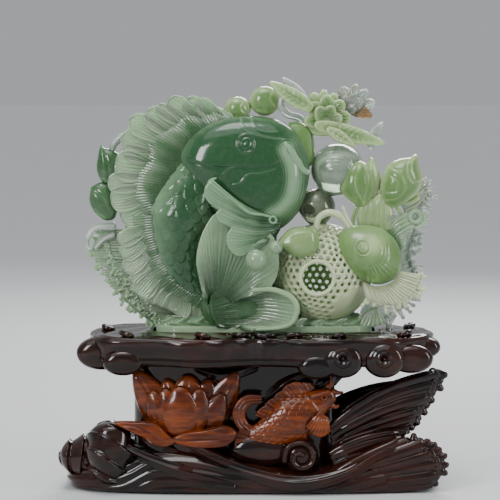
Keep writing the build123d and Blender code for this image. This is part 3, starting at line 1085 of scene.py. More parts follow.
# ------------------------------------------------------------------ the big carp
@dataclass
class Carp:
    """The big carp that curls round the stone: head, trunk, fins and tail."""

    shop: Workshop
    scale_pitch: float = 8.0
    scale_height: float = 1.0
    ray_height: float = 0.6

    def build(self) -> None:
        """Make every piece of the carp."""
        self.head()
        self.trunk()
        self.back_fins()
        self.tail()
        self.pectoral_fin()
        self.mouth()

    def head(self) -> None:
        """Carve the head: a smooth skull, a ringed eye, lips and a gill cover with a painted highlight."""
        seat = Seat.of("carp_head")
        outline = [
            (-0.06, 0.65), (-0.02, 0.77), (0.07, 0.87), (0.2, 0.95), (0.38, 0.995), (0.57, 0.995),
            (0.75, 0.96),
            (0.88, 0.87), (0.96, 0.73), (0.985, 0.57), (0.97, 0.41), (0.92, 0.26), (0.85, 0.15), (0.73, 0.06),
            (0.57, 0.015), (0.39, 0.06), (0.23, 0.2), (0.11, 0.37), (0.0, 0.52),
        ]
        skull = seat.curve([
            (-0.02, 0.71), (0.03, 0.8), (0.12, 0.885), (0.25, 0.945), (0.42, 0.975), (0.6, 0.975),
            (0.78, 0.94),
            (0.87, 0.88), (0.82, 0.81), (0.8, 0.72), (0.75, 0.63), (0.59, 0.587), (0.42, 0.596),
            (0.285, 0.587),
            (0.12, 0.61), (0.01, 0.65),
        ], 160, closed=True)
        lines = [
            seat.curve(line, 40)
            for line in (
                [(0.285, 0.53), (0.325, 0.575), (0.38, 0.6)],
                [(0.374, 0.451), (0.43, 0.473), (0.463, 0.514), (0.503, 0.542), (0.6, 0.549), (0.706, 0.579)],
                [(0.43, 0.98), (0.438, 0.932), (0.479, 0.878), (0.568, 0.842), (0.665, 0.823),
                 (0.771, 0.817)],
                [(0.511, 0.98), (0.528, 0.94), (0.56, 0.899), (0.633, 0.874), (0.72, 0.876)],
            )
        ]
        gill = seat.curve([
            (0.795, 0.735), (0.84, 0.612), (0.852, 0.489), (0.83, 0.366), (0.765, 0.262), (0.665, 0.19),
        ], 60)
        eye = seat.line([(0.476, 0.78)])[0]

        def relief(spot: np.ndarray) -> np.ndarray:
            """Height of the carving over the plain head."""
            rim = distance(spot, np.vstack([skull, skull[:1]]))
            plateau = np.where(inside(spot, skull), np.clip(rim / 1.6, 0, 1), 0)
            from_eye = np.hypot(*(spot - eye).T)
            height = 0.9 * plateau - 0.3 * np.exp(-((rim / 0.9) ** 2))
            height += sum(0.45 * groove(spot, line, 0.8) for line in lines)
            for radius, width, rise in ((6.6, 0.8, 0.7), (5.0, 0.8, -0.5), (3.6, 0.7, 0.8), (0.0, 1.8, 1.0)):
                height += rise * np.exp(-(((from_eye - radius) / width) ** 2))
            crest = distance(spot, gill)
            left = spot[:, 0] < np.interp(spot[:, 1], gill[::-1, 1], gill[::-1, 0])
            fine = np.cos(FULL_TURN * crest / 1.9) * np.exp(-(((crest - 6.5) / 2.4) ** 2)) * left
            return height + 1.5 * np.exp(-((crest / 7.0) ** 2)) + 0.42 * fine

        piece = pillow(
            "carp_head_carved", seat.line(outline), seat.low[1] + 1.5, seat.low[1] + seat.size[1] - 1.5,
            3.3, relief, around=320, along=120,
        )
        spot = coordinates(piece)[:, [0, 2]] / MM
        # Painted highlight: the raised gill band is painted pale.
        glow = np.exp(-((distance(spot, gill) / 7.0) ** 2))
        crest = distance(spot, gill)
        # Painted highlight and shade: the fine comb ridges are painted paler and the furrows between them
        # darker.
        comb_highlight_and_shade = np.cos(FULL_TURN * crest / 1.9) * np.exp(-(((crest - 6.5) / 3.0) ** 2))
        rim = np.clip(distance(spot, seat.curve(outline, 200, closed=True)) / 9, 0, 1)
        edge = sum(groove(spot, line, 0.7) for line in lines)
        stain(piece, 0.62 + 0.4 * rim - 0.78 * glow - 0.3 * edge - 0.16 * comb_highlight_and_shade)
        self.shop.deliver(piece, DEEP, "carp_head")

    def trunk(self) -> None:
        """Carve the curled trunk with its overlapping scales."""
        seat = Seat.of("carp_trunk")
        middle = [
            (0.72, 1.1), (0.6, 0.93), (0.47, 0.76), (0.40, 0.575), (0.41, 0.415), (0.5, 0.265), (0.67, 0.14),
            (0.95, 0.05), (1.25, 0.0),
        ]
        route = seat.route((u, 0.5, v) for u, v in middle)

        def skin(share: np.ndarray, angle: np.ndarray, along: np.ndarray) -> np.ndarray:
            """Scales over the middle of the trunk, rays near the tail."""
            across = ((angle + math.pi / 2) % FULL_TURN - math.pi) * 22
            fade = np.clip(share * 14, 0, 1) * np.clip((0.9 - share) * 9, 0, 1)
            ends = np.clip((share - 0.78) * 8, 0, 1) * np.clip((1 - share) * 8, 0, 1)
            rays = 0.3 * np.cos(angle * 34) * ends
            return self.scale_height * scales(along, across, self.scale_pitch) * fade + rays

        piece = rod(
            "carp_trunk_scaled", route, [16, 21, 25, 25.5, 23.5, 19.5, 14.5, 10.5, 6], flat=0.98,
            around=230, along=260, cap=0.07, skin=skin,
        )
        spot = coordinates(piece)[:, [0, 2]] / MM
        core = np.clip(1 - distance(spot, smooth(route[:, [0, 2]], 80)) / 24, 0, 1)
        stain(piece, 0.35 + 0.6 * core)
        self.shop.deliver(piece, DEEP, "carp_trunk")
        heart = seat.line([
            (0.45, 1.1), (0.93, 1.2), (1.45, 1.1), (1.62, 0.79), (1.55, 0.46), (1.67, 0.126), (1.6, -0.04),
            (0.93, -0.05), (0.4, 0.126), (0.12, 0.6),
        ])
        hub = seat.line([(1.3, 0.55)])[0]

        def flank(spot: np.ndarray) -> np.ndarray:
            """Large scales that follow the trunk's curve round the far side of the stone."""
            x, z = (spot - hub).T
            away = np.hypot(x, z)
            fade = np.clip((away - 22) / 6, 0, 1)
            return 1.1 * scales(np.arctan2(z, -x) * 52 + 200, away, 9.0) * fade

        mass = pillow("stone_heart", heart, -6, 19, 3.0, flank, 240, 120)
        self.shop.deliver(stain(mass, 0.75), DEEP)

    def back_fins(self) -> None:
        """Carve the two ray fins that frame the trunk."""
        for name, notch_shares, root_shares, hold, front, rays, rows, feather_front, seed in (
            ("dorsal", [
                (0.19, 0.06), (0.07, 0.16), (0.02, 0.3), (0.02, 0.42), (0.13, 0.56), (0.15, 0.66),
                (0.12, 0.79),
                (0.24, 0.865), (0.385, 0.905), (0.44, 0.975), (0.56, 1.0), (0.68, 0.955), (0.78, 0.99),
                (1.0, 0.9),
            ], [
                (0.46, 0.16), (0.49, 0.3), (0.57, 0.43), (0.66, 0.55), (0.76, 0.65), (0.88, 0.73),
                (1.06, 0.81),
            ], 0.1, (-12, -3), 58, 36, -11.0, 4),
            ("rear", [
                (1.01, 0.08), (0.88, 0.1), (0.82, 0.05), (0.7, 0.11), (0.6, 0.17), (0.5, 0.2), (0.42, 0.22),
                (0.33, 0.37), (0.26, 0.46), (0.21, 0.6), (0.17, 0.75), (0.15, 0.87), (0.14, 1.06),
            ], [
                (1.16, 0.22), (0.98, 0.28), (0.82, 0.41), (0.7, 0.58), (0.63, 0.76), (0.6, 0.95), (0.62, 1.1),
            ], 0.15, (-15, -5), 50, 34, -14.5, 9),
        ):
            node = f"carp_{name}_fin"
            seat = Seat.of(node)
            notches, root = seat.line(notch_shares), seat.curve(root_shares, 200)
            rim = smooth(notches, 400) * (1 - hold) + follow(root, np.linspace(0, 1, 400)) * hold
            fin = Fan(
                node + "_rays", root, rim, front, rays, self.ray_height * 0.5,
                thickness=3.0, bow=3.0, depth=(1.35, 0.3), samples=6, rows=rows,
            ).build()
            self.shop.deliver(fin, PALE, node)
            self.feathers(f"carp_{name}_feathers", root, notches, feather_front, seed)

    def feathers(self, name: str, root: np.ndarray, notches: np.ndarray, front: float, seed: int) -> None:
        """Lay overlapping ribbed feathers over a fin, from its middle to just past its rim.

        Args:
            name: The pieces' name.
            root: The fin's root line, as X and Z.
            notches: The points between the feathers' tips.
            front: Y of the feathers' bases.
            seed: Picks their small differences.
        """
        dice = np.random.default_rng(seed)
        made = []
        for number in range(len(notches) - 1):
            share = (number + 0.5) / (len(notches) - 1)
            if share > 0.94:
                continue
            start, end = notches[number], notches[number + 1]
            chord = np.linalg.norm(end - start)
            out = np.array([-(end - start)[1], (end - start)[0]]) / chord
            tip = (start + end) / 2 + out * chord * dice.uniform(0.12, 0.28)
            foot = follow(root, np.array([min(1.0, share + 0.07)]))[0]
            base = foot + (tip - foot) * dice.uniform(0.1, 0.18)
            made.append(Petal(
                name, np.array([base[0], front, base[1]]), np.array([tip[0], front + 4.5, tip[1]]),
                chord * dice.uniform(1.3, 1.5), (dice.uniform(-0.14, 0.14), -1, 0), -0.05, 0.07, 2.3, 9, 0.26,
                1.5,
                0.62, depth=(1.25, -0.1), columns=44, rows=22,
            ).build())
        half = len(made) // 2
        for group in (made[:half], made[half:]):
            self.shop.deliver(weld(name, group), PALE)

    def tail(self) -> None:
        """Carve the tail's two broad lobes."""
        seat = Seat.of("carp_tail_upper")
        root = seat.curve([(0.07, -0.02), (0.16, 0.01), (0.27, 0.01), (0.37, -0.01)], 60)
        rim = seat.curve([
            (0.03, 0.16), (-0.04, 0.48), (0.0, 0.71), (0.1, 0.9), (0.22, 1.0), (0.5, 0.98), (0.786, 0.846),
            (0.956, 0.688), (0.995, 0.484), (0.97, 0.304), (0.865, 0.145),
        ], 300)
        fin = Fan(
            "carp_tail_upper_rays", root, rim, (-22, -31), 30, 0.42, thickness=3.0, bow=5.0,
            depth=(1.2, 0.25), soft=0.85, samples=6, rows=50,
        ).build()
        self.shop.deliver(fin, PALE, "carp_tail_upper")

        seat = Seat.of("carp_tail_lower")
        root = seat.curve([(0.02, 0.95), (0.02, 0.6), (0.05, 0.3), (0.12, 0.05)], 60)
        rim = seat.curve([
            (0.5, 1.15), (0.74, 1.16), (0.93, 0.98), (1.01, 0.72), (1.0, 0.42), (0.93, 0.18), (0.78, 0.07),
            (0.5, 0.03),
        ], 300)
        fin = Fan(
            "carp_tail_lower_rays", root, rim, (-26, -33), 26, 0.42, thickness=4.0, bow=-8.0, sag=(3.0, 6.0),
            depth=(1.2, 0.3), soft=0.3, samples=6, rows=44,
        ).build()
        self.shop.deliver(fin, PALE, "carp_tail_lower")
        hem = np.array([(x, -34, z) for x, z in rim[::12]])
        lip = rod("carp_tail_lip", hem, [1.5, 2.2, 2.4, 2.2, 1.2], 1.0, around=20, along=120, cap=0.03)
        back = pillow(
            "carp_tail_lip", seat.line([
                (-0.1, 0.8), (0.2, 1.05), (0.6, 1.1), (0.9, 0.9), (0.97, 0.5), (0.88, 0.12), (0.5, 0.05),
                (0.0, 0.1),
            ]), -24, 6, 3.0, None, 90, 30,
        )
        self.shop.deliver(weld("carp_tail_lip", [stain(lip, 0.05), stain(back, 0.8)]), PALE)

    def pectoral_fin(self) -> None:
        """Carve the pectoral fin that lies over the cheek, with its lobes and its little boss."""
        seat = Seat.of("carp_pectoral_fin")
        root = seat.curve([(0.93, 0.5), (0.97, 0.43), (0.94, 0.33), (0.86, 0.24)], 60)
        rim = seat.curve([
            (0.1, 1.03), (0.01, 0.93), (0.005, 0.8), (0.085, 0.695), (0.2, 0.655), (0.14, 0.56), (0.2, 0.45),
            (0.33, 0.385), (0.28, 0.27), (0.295, 0.13), (0.385, 0.02), (0.49, 0.01), (0.58, 0.107),
            (0.68, 0.19),
        ], 300)
        fin = Fan(
            "carp_pectoral_fin_rays", root, rim, (-27, -37), 34, 0.22, thickness=3.4, bow=3.0,
            sag=(2.0, -6.5),
            depth=(1.15, 0.3), soft=0.4, samples=5, rows=44,
        ).build()
        self.shop.deliver(fin, DEEP, "carp_pectoral_fin")
        fold = seat.route((
                (0.16, 0.02, 1.05), (0.06, 0.0, 0.99), (0.08, 0.0, 0.86), (0.2, 0.0, 0.8),
                (0.34, -0.05, 0.76),
                (0.46, -0.08, 0.66), (0.58, -0.05, 0.575), (0.74, 0.0, 0.55), (0.92, 0.1, 0.5),
            ))
        edge = rod("pectoral_fold", fold, [1.0, 1.5, 1.6, 1.3, 1.1, 1.0, 0.9], flat=0.9, flutes=4, cut=0.1)
        boss = ring("pectoral_boss", seat.at(0.87, -0.05, 0.485), 2.4, (0.9, 1.3), around=40)
        pupil = rod("pectoral_pupil", seat.route(((0.87, 0.15, 0.485), (0.87, -0.1, 0.485))), [1.2, 1.2],
                    cap=0.4)
        bead = rod("pectoral_bead", seat.route(((0.18, 0.5, 0.9), (0.18, 0.02, 0.9))), [2.2, 2.2], cap=0.4)
        self.shop.deliver(stain(weld("pectoral_details", [edge, boss, pupil, bead]), 0.35), DEEP)

    def mouth(self) -> None:
        """Carve the far lip and the barbel."""
        seat = Seat.of("carp_lip")
        outline = seat.line([
            (0.1, 0.95), (0.55, 1.02), (0.95, 0.85), (1.1, 0.5), (1.1, 0.1), (0.8, -0.15), (0.35, 0.1),
            (0.0, 0.5),
        ])
        rim = smooth(outline, 120, closed=True)
        lip = pillow(
            "carp_lip_carved", outline, -15, 10, 2.6,
            lambda spot: 0.8 * np.exp(-(((distance(spot, rim) - 2.4) / 1.1) ** 2)), 96, 48,
        )
        self.shop.deliver(stain(lip, 1.0), LEAF, "carp_lip")
        seat = Seat.of("carp_barbel")
        route = seat.route(((0.0, 0.1, 1.0), (0.24, 0.05, 0.78), (0.45, 0.2, 0.48), (0.68, 0.4, 0.24),
                            (0.96, 0.6, 0.15)))
        barbel = rod("carp_barbel_leaf", route, [1.6, 2.2, 2.6, 3.3, 3.4, 1.8], flat=0.55, flutes=5, cut=0.12)
        self.shop.deliver(stain(barbel, 0.2), DEEP, "carp_barbel")


# ------------------------------------------------------------------ the pierced ball
@dataclass
class LatticeBall:
    """A hollow ball pierced all over, with one round mouth."""

    shop: Workshop
    hole: float = 1.55
    wall: float = 4.0
    margin: float = 14.0

    def build(self) -> None:
        """Pierce the ball and add the collar of its mouth."""
        seat = Seat.of("lattice_ball")
        radius = seat.size[0] / 2
        centre = seat.low + seat.size - radius
        deselect()
        bpy.ops.mesh.primitive_ico_sphere_add(subdivisions=4, radius=radius * MM, location=centre * MM)
        piece = bpy.context.object
        piece.name = "lattice_ball_pierced"
        bpy.ops.object.transform_apply(location=True, rotation=True, scale=True)
        corners = coordinates(piece) / MM - centre
        bpy.ops.object.mode_set(mode="EDIT")
        bpy.ops.mesh.select_mode(type="VERT")
        bpy.ops.mesh.select_all(action="SELECT")
        bpy.ops.mesh.bevel(offset=self.hole * MM, affect="VERTICES", segments=1)
        bpy.ops.mesh.select_mode(type="FACE")
        bpy.ops.mesh.select_all(action="DESELECT")
        bpy.ops.object.mode_set(mode="OBJECT")
        mouth = np.array([-4.5, -radius, 0.0])
        veil = np.array([0.62, -0.45, -0.62])
        for face in piece.data.polygons:
            middle = np.array(face.center) / MM - centre
            pierced = np.linalg.norm(corners - middle, axis=1).min() < 0.5
            smooth_side = middle @ veil / radius > 0.84
            near_mouth = np.hypot(middle[0] - mouth[0], middle[2]) < self.margin - 2.5 and middle[1] < 0
            face.select = bool((pierced and not smooth_side) or near_mouth)
        bpy.ops.object.mode_set(mode="EDIT")
        bpy.ops.mesh.delete(type="FACE")
        bpy.ops.object.mode_set(mode="OBJECT")
        harden(piece, "SOLIDIFY", thickness=self.wall * MM, offset=-1.0)
        harden(piece, "SUBSURF", levels=1, render_levels=1)
        self.shop.deliver(outward(stain(piece, 0.25)), MILK, "lattice_ball")
        depth = math.sqrt(radius**2 - self.margin**2)
        collar = ring("lattice_ball_collar", centre + (mouth[0], -depth - 0.3, 0), 12.3, (1.6, 1.6), 96)
        self.shop.deliver(stain(collar, 0.1), MILK)


# ------------------------------------------------------------------ pods, pearls and curls
@dataclass
class Pods:
    """Round pods, beads and pearls, and the curls between them."""

    shop: Workshop

    def build(self) -> None:
        """Make the pods, beads, pearls and curls."""
        self.top_pods()
        self.centre_pod()
        self.beads()
        self.pearls()
        self.curls()
        self.left_leaves()

    def top_pods(self) -> None:
        """Carve the two pods on the carp's head."""
        seat = Seat.of("top_pods")
        pods = []
        for across, up, radius in ((0.26, 0.36, 9.4), (0.75, 0.6, 11.2)):
            middle = seat.line([(across, up)])[0]
            line = middle + radius * np.array([(0.9, -0.6), (0.3, 0.1), (0.5, 0.8)])
            pods.append(Plaque(
                "pod", middle + circle(10) * (radius * 1.06, radius), seat.low[1], seat.low[1] + 19,
                lines=(smooth(line, 20),), cut=0.5, depth=(0.8, 0.25),
            ).build())
        self.shop.join("top_pods", pods, LEAF)

    def centre_pod(self) -> None:
        """Carve the bent pod above the ball."""
        seat = Seat.of("centre_pod")
        outline = seat.line([
            (-0.02, 0.35), (0.15, 0.67), (0.38, 0.87), (0.72, 0.9), (0.98, 0.78), (1.05, 0.45), (0.97, 0.1),
            (0.67, -0.07), (0.36, 0.0), (0.17, 0.19),
        ])
        crease = seat.curve([(0.0, 0.35), (0.25, 0.62), (0.5, 0.72), (0.85, 0.8)], 30)
        piece = pillow(
            "centre_pod_carved", outline, seat.low[1], seat.low[1] + 20, 2.2,
            lambda spot: 0.8 * groove(spot, crease, 1.6), 80, 40,
        )
        self.shop.deliver(stain(piece, 0.55), LEAF, "centre_pod")

    def beads(self) -> None:
        """Carve the two beads under the pectoral fin."""
        seat = Seat.of("beads")
        radius = seat.size[1] / 2
        beads = []
        for across, up, size in ((0.27, 0.35, radius), (0.82, 0.8, radius * 0.62)):
            spot = seat.at(across, 0.35, up)
            beads.append(rod("bead", np.array([spot + (0, size, size * 0.3), spot, spot - (0, size, 0)]),
                             [size * 0.9, size, size], cap=0.5, around=32, along=24))
        self.shop.join("beads", beads, PALE, 0.35)

    def pearls(self) -> None:
        """Carve the clear pearl, lined at its top, and the smoky one with its round hole."""
        seat = Seat.of("clear_pearl")
        radius = seat.size[2] / 2
        centre = seat.at(0.5, 0.5, 0.5)
        heart = centre[[0, 2]] + (-2.0, -3.0)

        def lines(spot: np.ndarray) -> np.ndarray:
            """Fine shell-like lines over the top."""
            up = np.clip((spot[:, 1] - centre[2]) / radius * 1.6, 0, 1)
            return 0.3 * np.cos(np.hypot(*(spot - heart).T) * FULL_TURN / 2.6) * up

        pearl = pillow(
            "clear_pearl_cut", centre[[0, 2]] + circle(24) * radius, centre[1] - radius, centre[1] + radius,
            2.0,
            lines, 96, 64,
        )
        self.shop.deliver(pearl, GLASSY, "clear_pearl")
        seat = Seat.of("smoky_pearl")
        radius = seat.size[0] / 2 - 1
        centre = seat.at(0.45, 0.5, 0.45)
        pit = centre[[0, 2]] + (-radius * 0.45, -2.0)
        pearl = pillow(
            "smoky_pearl_bored", centre[[0, 2]] + circle(24) * radius, centre[1] - radius, centre[1] + radius,
            2.0,
            lambda spot: -7.0 / (1 + np.exp((np.hypot(*(spot - pit).T) - 3.6) * 3)), 96, 64, both=False,
        )
        self.shop.deliver(pearl, SMOKY, "smoky_pearl")

    def curls(self) -> None:
        """Carve the curls at the left edge, at the top and over the ball."""
        plans = (
            ("left_curls", CLEAR, 0.5, (
                ([(0.94, 0.938), (0.724, 0.95), (0.586, 0.895), (0.546, 0.827), (0.645, 0.776)],
                 [3.2, 3.8, 3.4, 2.6, 1.6]),
                ([(0.62, 0.19), (0.25, 0.18), (0.072, 0.111), (0.033, 0.034), (0.151, -0.01)],
                 [3.2, 3.2, 2.8, 2.2, 1.4]),
                ([(0.6, 0.12), (0.36, 0.075), (0.191, 0.0)], [2.6, 2.2, 1.2]),
            )),
            ("top_curl", CLEAR, 0.3, (
                ([(0.6, 0.9), (0.275, 0.72), (0.239, 0.4), (0.493, 0.143), (0.855, 0.036), (1.15, -0.18)],
                 [1.8, 2.6, 2.8, 2.6, 2.6, 2.0]),
            )),
            ("hook_curl", MILK, 0.2, (
                ([(0.1, 0.15), (0.16, 0.53), (0.433, 0.72), (0.73, 0.64), (0.97, 0.37), (1.15, -0.05)],
                 [2.0, 2.6, 2.7, 2.4, 2.1, 1.8]),
                ([(0.84, 0.95), (0.97, 0.56), (1.2, 0.1)], [1.3, 1.8, 1.4]),
            )),
        )
        for node, finish, deep, strands in plans:
            seat = Seat.of(node)
            made = [
                rod("strand", seat.route((u, deep, v) for u, v in middle), radii, 0.9, 4, 0.14)
                for middle, radii in strands
            ]
            self.shop.deliver(stain(weld(node + "_carved", made), 0.1), finish, node)

    def left_leaves(self) -> None:
        """Carve the two plump leaves at the left edge."""
        seat = Seat.of("left_leaves")
        leaves = []
        for outline, vein in (
            ([(0.4, 1.02), (0.5, 0.985), (0.85, 0.95), (1.2, 0.84), (1.15, 0.66), (0.77, 0.49), (0.42, 0.53),
              (0.26, 0.68), (0.3, 0.86)], [(0.5, 0.97), (0.62, 0.8), (0.7, 0.55)]),
            ([(0.06, 0.455), (0.1, 0.46), (0.45, 0.52), (0.8, 0.44), (0.98, 0.23), (0.91, 0.03),
              (0.56, -0.01),
              (0.175, 0.1), (0.0, 0.26)], [(0.1, 0.44), (0.45, 0.3), (0.7, 0.08)]),
        ):
            line = seat.curve(vein, 30)
            leaves.append(pillow(
                "leaf", seat.line(outline), seat.low[1] - 3, seat.low[1] + 11, 2.2,
                lambda spot, line=line: -0.9 * groove(spot, line, 1.2), 72, 36,
            ))
        self.shop.join("left_leaves", leaves, PALE, 0.8)


# ------------------------------------------------------------------ flowers and buds
@dataclass
class Blossoms:
    """The flowers and leaves at the top, and the two buds with their stalks."""

    shop: Workshop

    def build(self) -> None:
        """Make the blossoms."""
        self.lily()
        self.clear_flower()
        self.leaves()
        self.buds()

    def petals(
        self, name: str, centre: Pair, front: float, turns: Sequence[float], reach: float, width: float,
        depth: Pair = (0.6, 0.0), lean: float = 0.2,
    ) -> list[bpy.types.Object]:
        """Set a ring of veined petals round a middle.

        Args:
            name: The petals' name.
            centre: The flower's middle, as X and Z.
            front: Y of the petals' fronts.
            turns: Each petal's bearing, in degrees.
            reach: The petals' length.
            width: Their width.
            depth: Stone depth at the middle and at the edge.
            lean: How far a petal rises towards the viewer along its length.

        Returns:
            The petals.
        """
        made = []
        for number, turn in enumerate(turns):
            way = np.array([math.cos(math.radians(turn)), math.sin(math.radians(turn))])
            hub = np.array(centre) - way * reach * 0.25
            layer = front + 0.5 * (number % 2)
            made.append(Plaque(
                name, leaf(centre, np.array(centre) + way * reach, width, 0.6, 0.5), layer, layer + 3.0, 2.6,
                0.55,
                rays=44, hub=tuple(hub), lean=tuple(-lean * way), depth=depth, around=64, along=28,
            ).build())
        return made

    def lily(self) -> None:
        """Carve the green lily."""
        seat = Seat.of("lily_flower")
        middle = seat.line([(0.62, 0.5)])[0]
        front = seat.low[1]
        made = self.petals("lily", tuple(middle + (-3, 3)), front + 9, (118, 88, 58), 18, 12, (0.3, 0.0), 0.1)
        made += self.petals("lily", tuple(middle), front + 4, (92, 46, 2, 142, 190), 17.5, 15.5, (1.0, 0.15),
                            0.15)
        made += self.petals("lily", tuple(middle + (-1, -2)), front, (68, 12, 122, -30), 12.5, 13,
                            (1.1, 0.25), 0.3)
        made.append(Plaque("lily", middle + (-4, -7) + circle(8) * (11, 7), front + 3, front + 16,
                           lip=0.3).build())
        self.shop.join("lily_flower", made, LEAF)

    def clear_flower(self) -> None:
        """Carve the clear flower behind the lily."""
        seat = Seat.of("clear_flower")
        middle = tuple(seat.line([(0.46, 0.52)])[0])
        front = seat.low[1]
        rust = self.petals("rust_petal", middle, front + 1, (-20,), 16.5, 10, (0.5, 0), 0.1)
        self.shop.deliver(weld("rust_petal", rust), RUST)
        made = self.petals("clear_petal", middle, front + 3, (150, 116, 82, 48, 14), 18.5, 13, (0.5, 0), 0.08)
        made += self.petals("clear_petal", middle, front, (124, 82, 40), 11.5, 10, (0.6, 0), 0.15)
        beads = [
            (middle[0] + 3 * math.cos(n), front - 0.5, middle[1] + 3 * math.sin(n), 1.4) for n in range(6)
        ]
        made.append(skin_of("clear_heart", [*beads, (middle[0], front, middle[1], 3.4)], 0.6))
        heart = np.array((middle[0], front, middle[1]))
        stem = heart + np.array(((0, 1, 0), (-8, 0, -7), (-19, -3, -11)))
        made.append(rod("clear_stem", stem, [2.2, 2.6, 3.4], 0.9, 4, 0.12, around=24, along=30))
        self.shop.join("clear_flower", made, STAINED)

    def leaves(self) -> None:
        """Carve the leaves above and below the lily."""
        seat = Seat.of("flower_leaves")
        front = seat.low[1]
        made, clear = [], []
        for base, tip, width, layer, many, store in (
            ((0.38, 0.52), (0.01, 0.93), 12.5, 0, 8, made),
            ((0.4, 0.3), (1.0, 0.01), 13.5, -2, 11, made),
            ((0.5, 0.24), (0.74, -0.02), 9, -4, 5, made),
            ((0.34, 0.62), (0.12, 0.99), 9, 6, 0, clear),
            ((0.86, 0.05), (0.98, 0.33), 8, 3, 0, clear),
            ((0.84, 0.1), (0.9, -0.1), 5, 3, 0, clear),
        ):
            start, end = seat.line([base, tip])
            run = end - start
            side = np.array([-run[1], run[0]]) / np.linalg.norm(run)
            veins = [np.stack([start + run * 0.05, start + run * 0.5, start + run * 0.95])]
            for number in range(1, many):
                foot = start + run * (number / (many + 1))
                for way in (-1, 1):
                    veins.append(np.stack([foot, foot + run * 0.1 + side * way * width * 0.42]))
            store.append(Plaque(
                "leaf", leaf(start, end, width, 0.8, 0.75), front + layer, front + layer + 4.5, 2.6, 0.5,
                lines=veins if many else (), cut=0.6, depth=(0.9, 0.1), around=110, along=44,
            ).build())
        self.shop.join("flower_leaves", made, LEAF)
        self.shop.deliver(weld("clear_leaves_carved", clear), CLEAR)

    def buds(self) -> None:
        """Carve the two buds and their stalks."""
        left, right, stalk = (Seat.of(node) for node in ("left_bud", "right_bud", "bud_stalks"))
        body = Plaque(
            "bud", left.line([
                (-0.13, 0.4), (-0.04, 0.67), (0.18, 0.85), (0.53, 0.91), (0.8, 0.79), (0.96, 0.55),
                (0.93, 0.27), (0.75, 0.05), (0.5, -0.01), (0.18, 0.11), (-0.04, 0.25),
            ]), left.low[1] - 2, left.low[1] + 24, 2.1,
            lines=(left.curve([(0.56, 0.95), (0.36, 0.67), (0.38, 0.4), (0.62, 0.1)], 40),
                   left.curve([(0.58, 0.93), (0.7, 0.6), (0.66, 0.3), (0.6, 0.02)], 40)),
            depth=(0.85, 0.3), around=120, along=60,
        ).build()
        back = Plaque(
            "bud", left.line([
                (0.6, 0.35), (0.62, 0.7), (0.76, 0.88), (0.87, 0.98), (1.03, 0.83), (1.14, 0.59), (1.1, 0.33),
                (0.93, 0.12),
            ]), left.low[1] + 6, left.low[1] + 20, 2.2, 0.4, depth=(0.5, 0.1),
        ).build()
        self.shop.join("left_bud", [body, back], LEAF)
        body = Plaque(
            "bud", right.line([
                (0.02, 0.29), (0.07, 0.56), (0.22, 0.8), (0.5, 0.92), (0.72, 0.945), (0.88, 1.01),
                (0.95, 0.8),
                (1.03, 0.56), (0.97, 0.32), (0.75, 0.12), (0.5, 0.0), (0.3, -0.04), (0.1, 0.06),
            ]), right.low[1], right.low[1] + 28, 2.1,
            lines=(right.curve([(0.2, 0.78), (0.48, 0.66), (0.6, 0.42), (0.46, 0.19), (0.12, 0.12)], 50),
                   right.curve([(0.8, 0.97), (0.64, 0.76), (0.78, 0.5), (1.0, 0.5)], 50),
                   right.curve([(0.28, 0.6), (0.42, 0.5), (0.4, 0.32), (0.2, 0.28)], 40)),
            depth=(0.8, 0.25), around=140, along=64,
        ).build()
        self.shop.join("right_bud", [body], LEAF)

        sheath = Plaque(
            "stalk", stalk.line([
                (-0.17, 0.54), (0.0, 0.7), (0.33, 0.8), (0.65, 0.88), (0.88, 0.68), (1.02, 0.44),
                (0.95, 0.14),
                (0.55, 0.08), (0.2, 0.1), (-0.07, 0.15), (-0.2, 0.33),
            ]), stalk.low[1] - 2, stalk.low[1] + 11, 2.8, 0.4,
            lines=[stalk.curve([(0.3 + 0.5 * k, 0.9), (0.2 + 0.7 * k, 0.5), (0.1 + 0.85 * k, 0.1)], 30)
                   for k in (-0.3, 0.05, 0.35, 0.6, 0.85)], cut=1.0, depth=(0.5, 0.1), around=110, along=40,
        ).build()
        stems = [
            rod("stalk", stalk.route((u, 0.5, v) for u, v in middle), [1.3, 1.5, 2.2], 0.9, 3, 0.15)
            for middle in (
                [(-0.2, 0.62), (-0.3, 0.35), (-0.36, 0.02)],
                [(0.86, 0.72), (1.2, 0.5), (1.3, 0.2)],
                [(0.95, 0.95), (1.4, 0.75), (1.8, 0.9)],
                [(0.95, 0.88), (1.4, 0.66), (1.85, 0.78)],
            )
        ]
        self.shop.join("bud_stalks", [sheath, *(stain(stem, 0.1) for stem in stems)], LEAF)


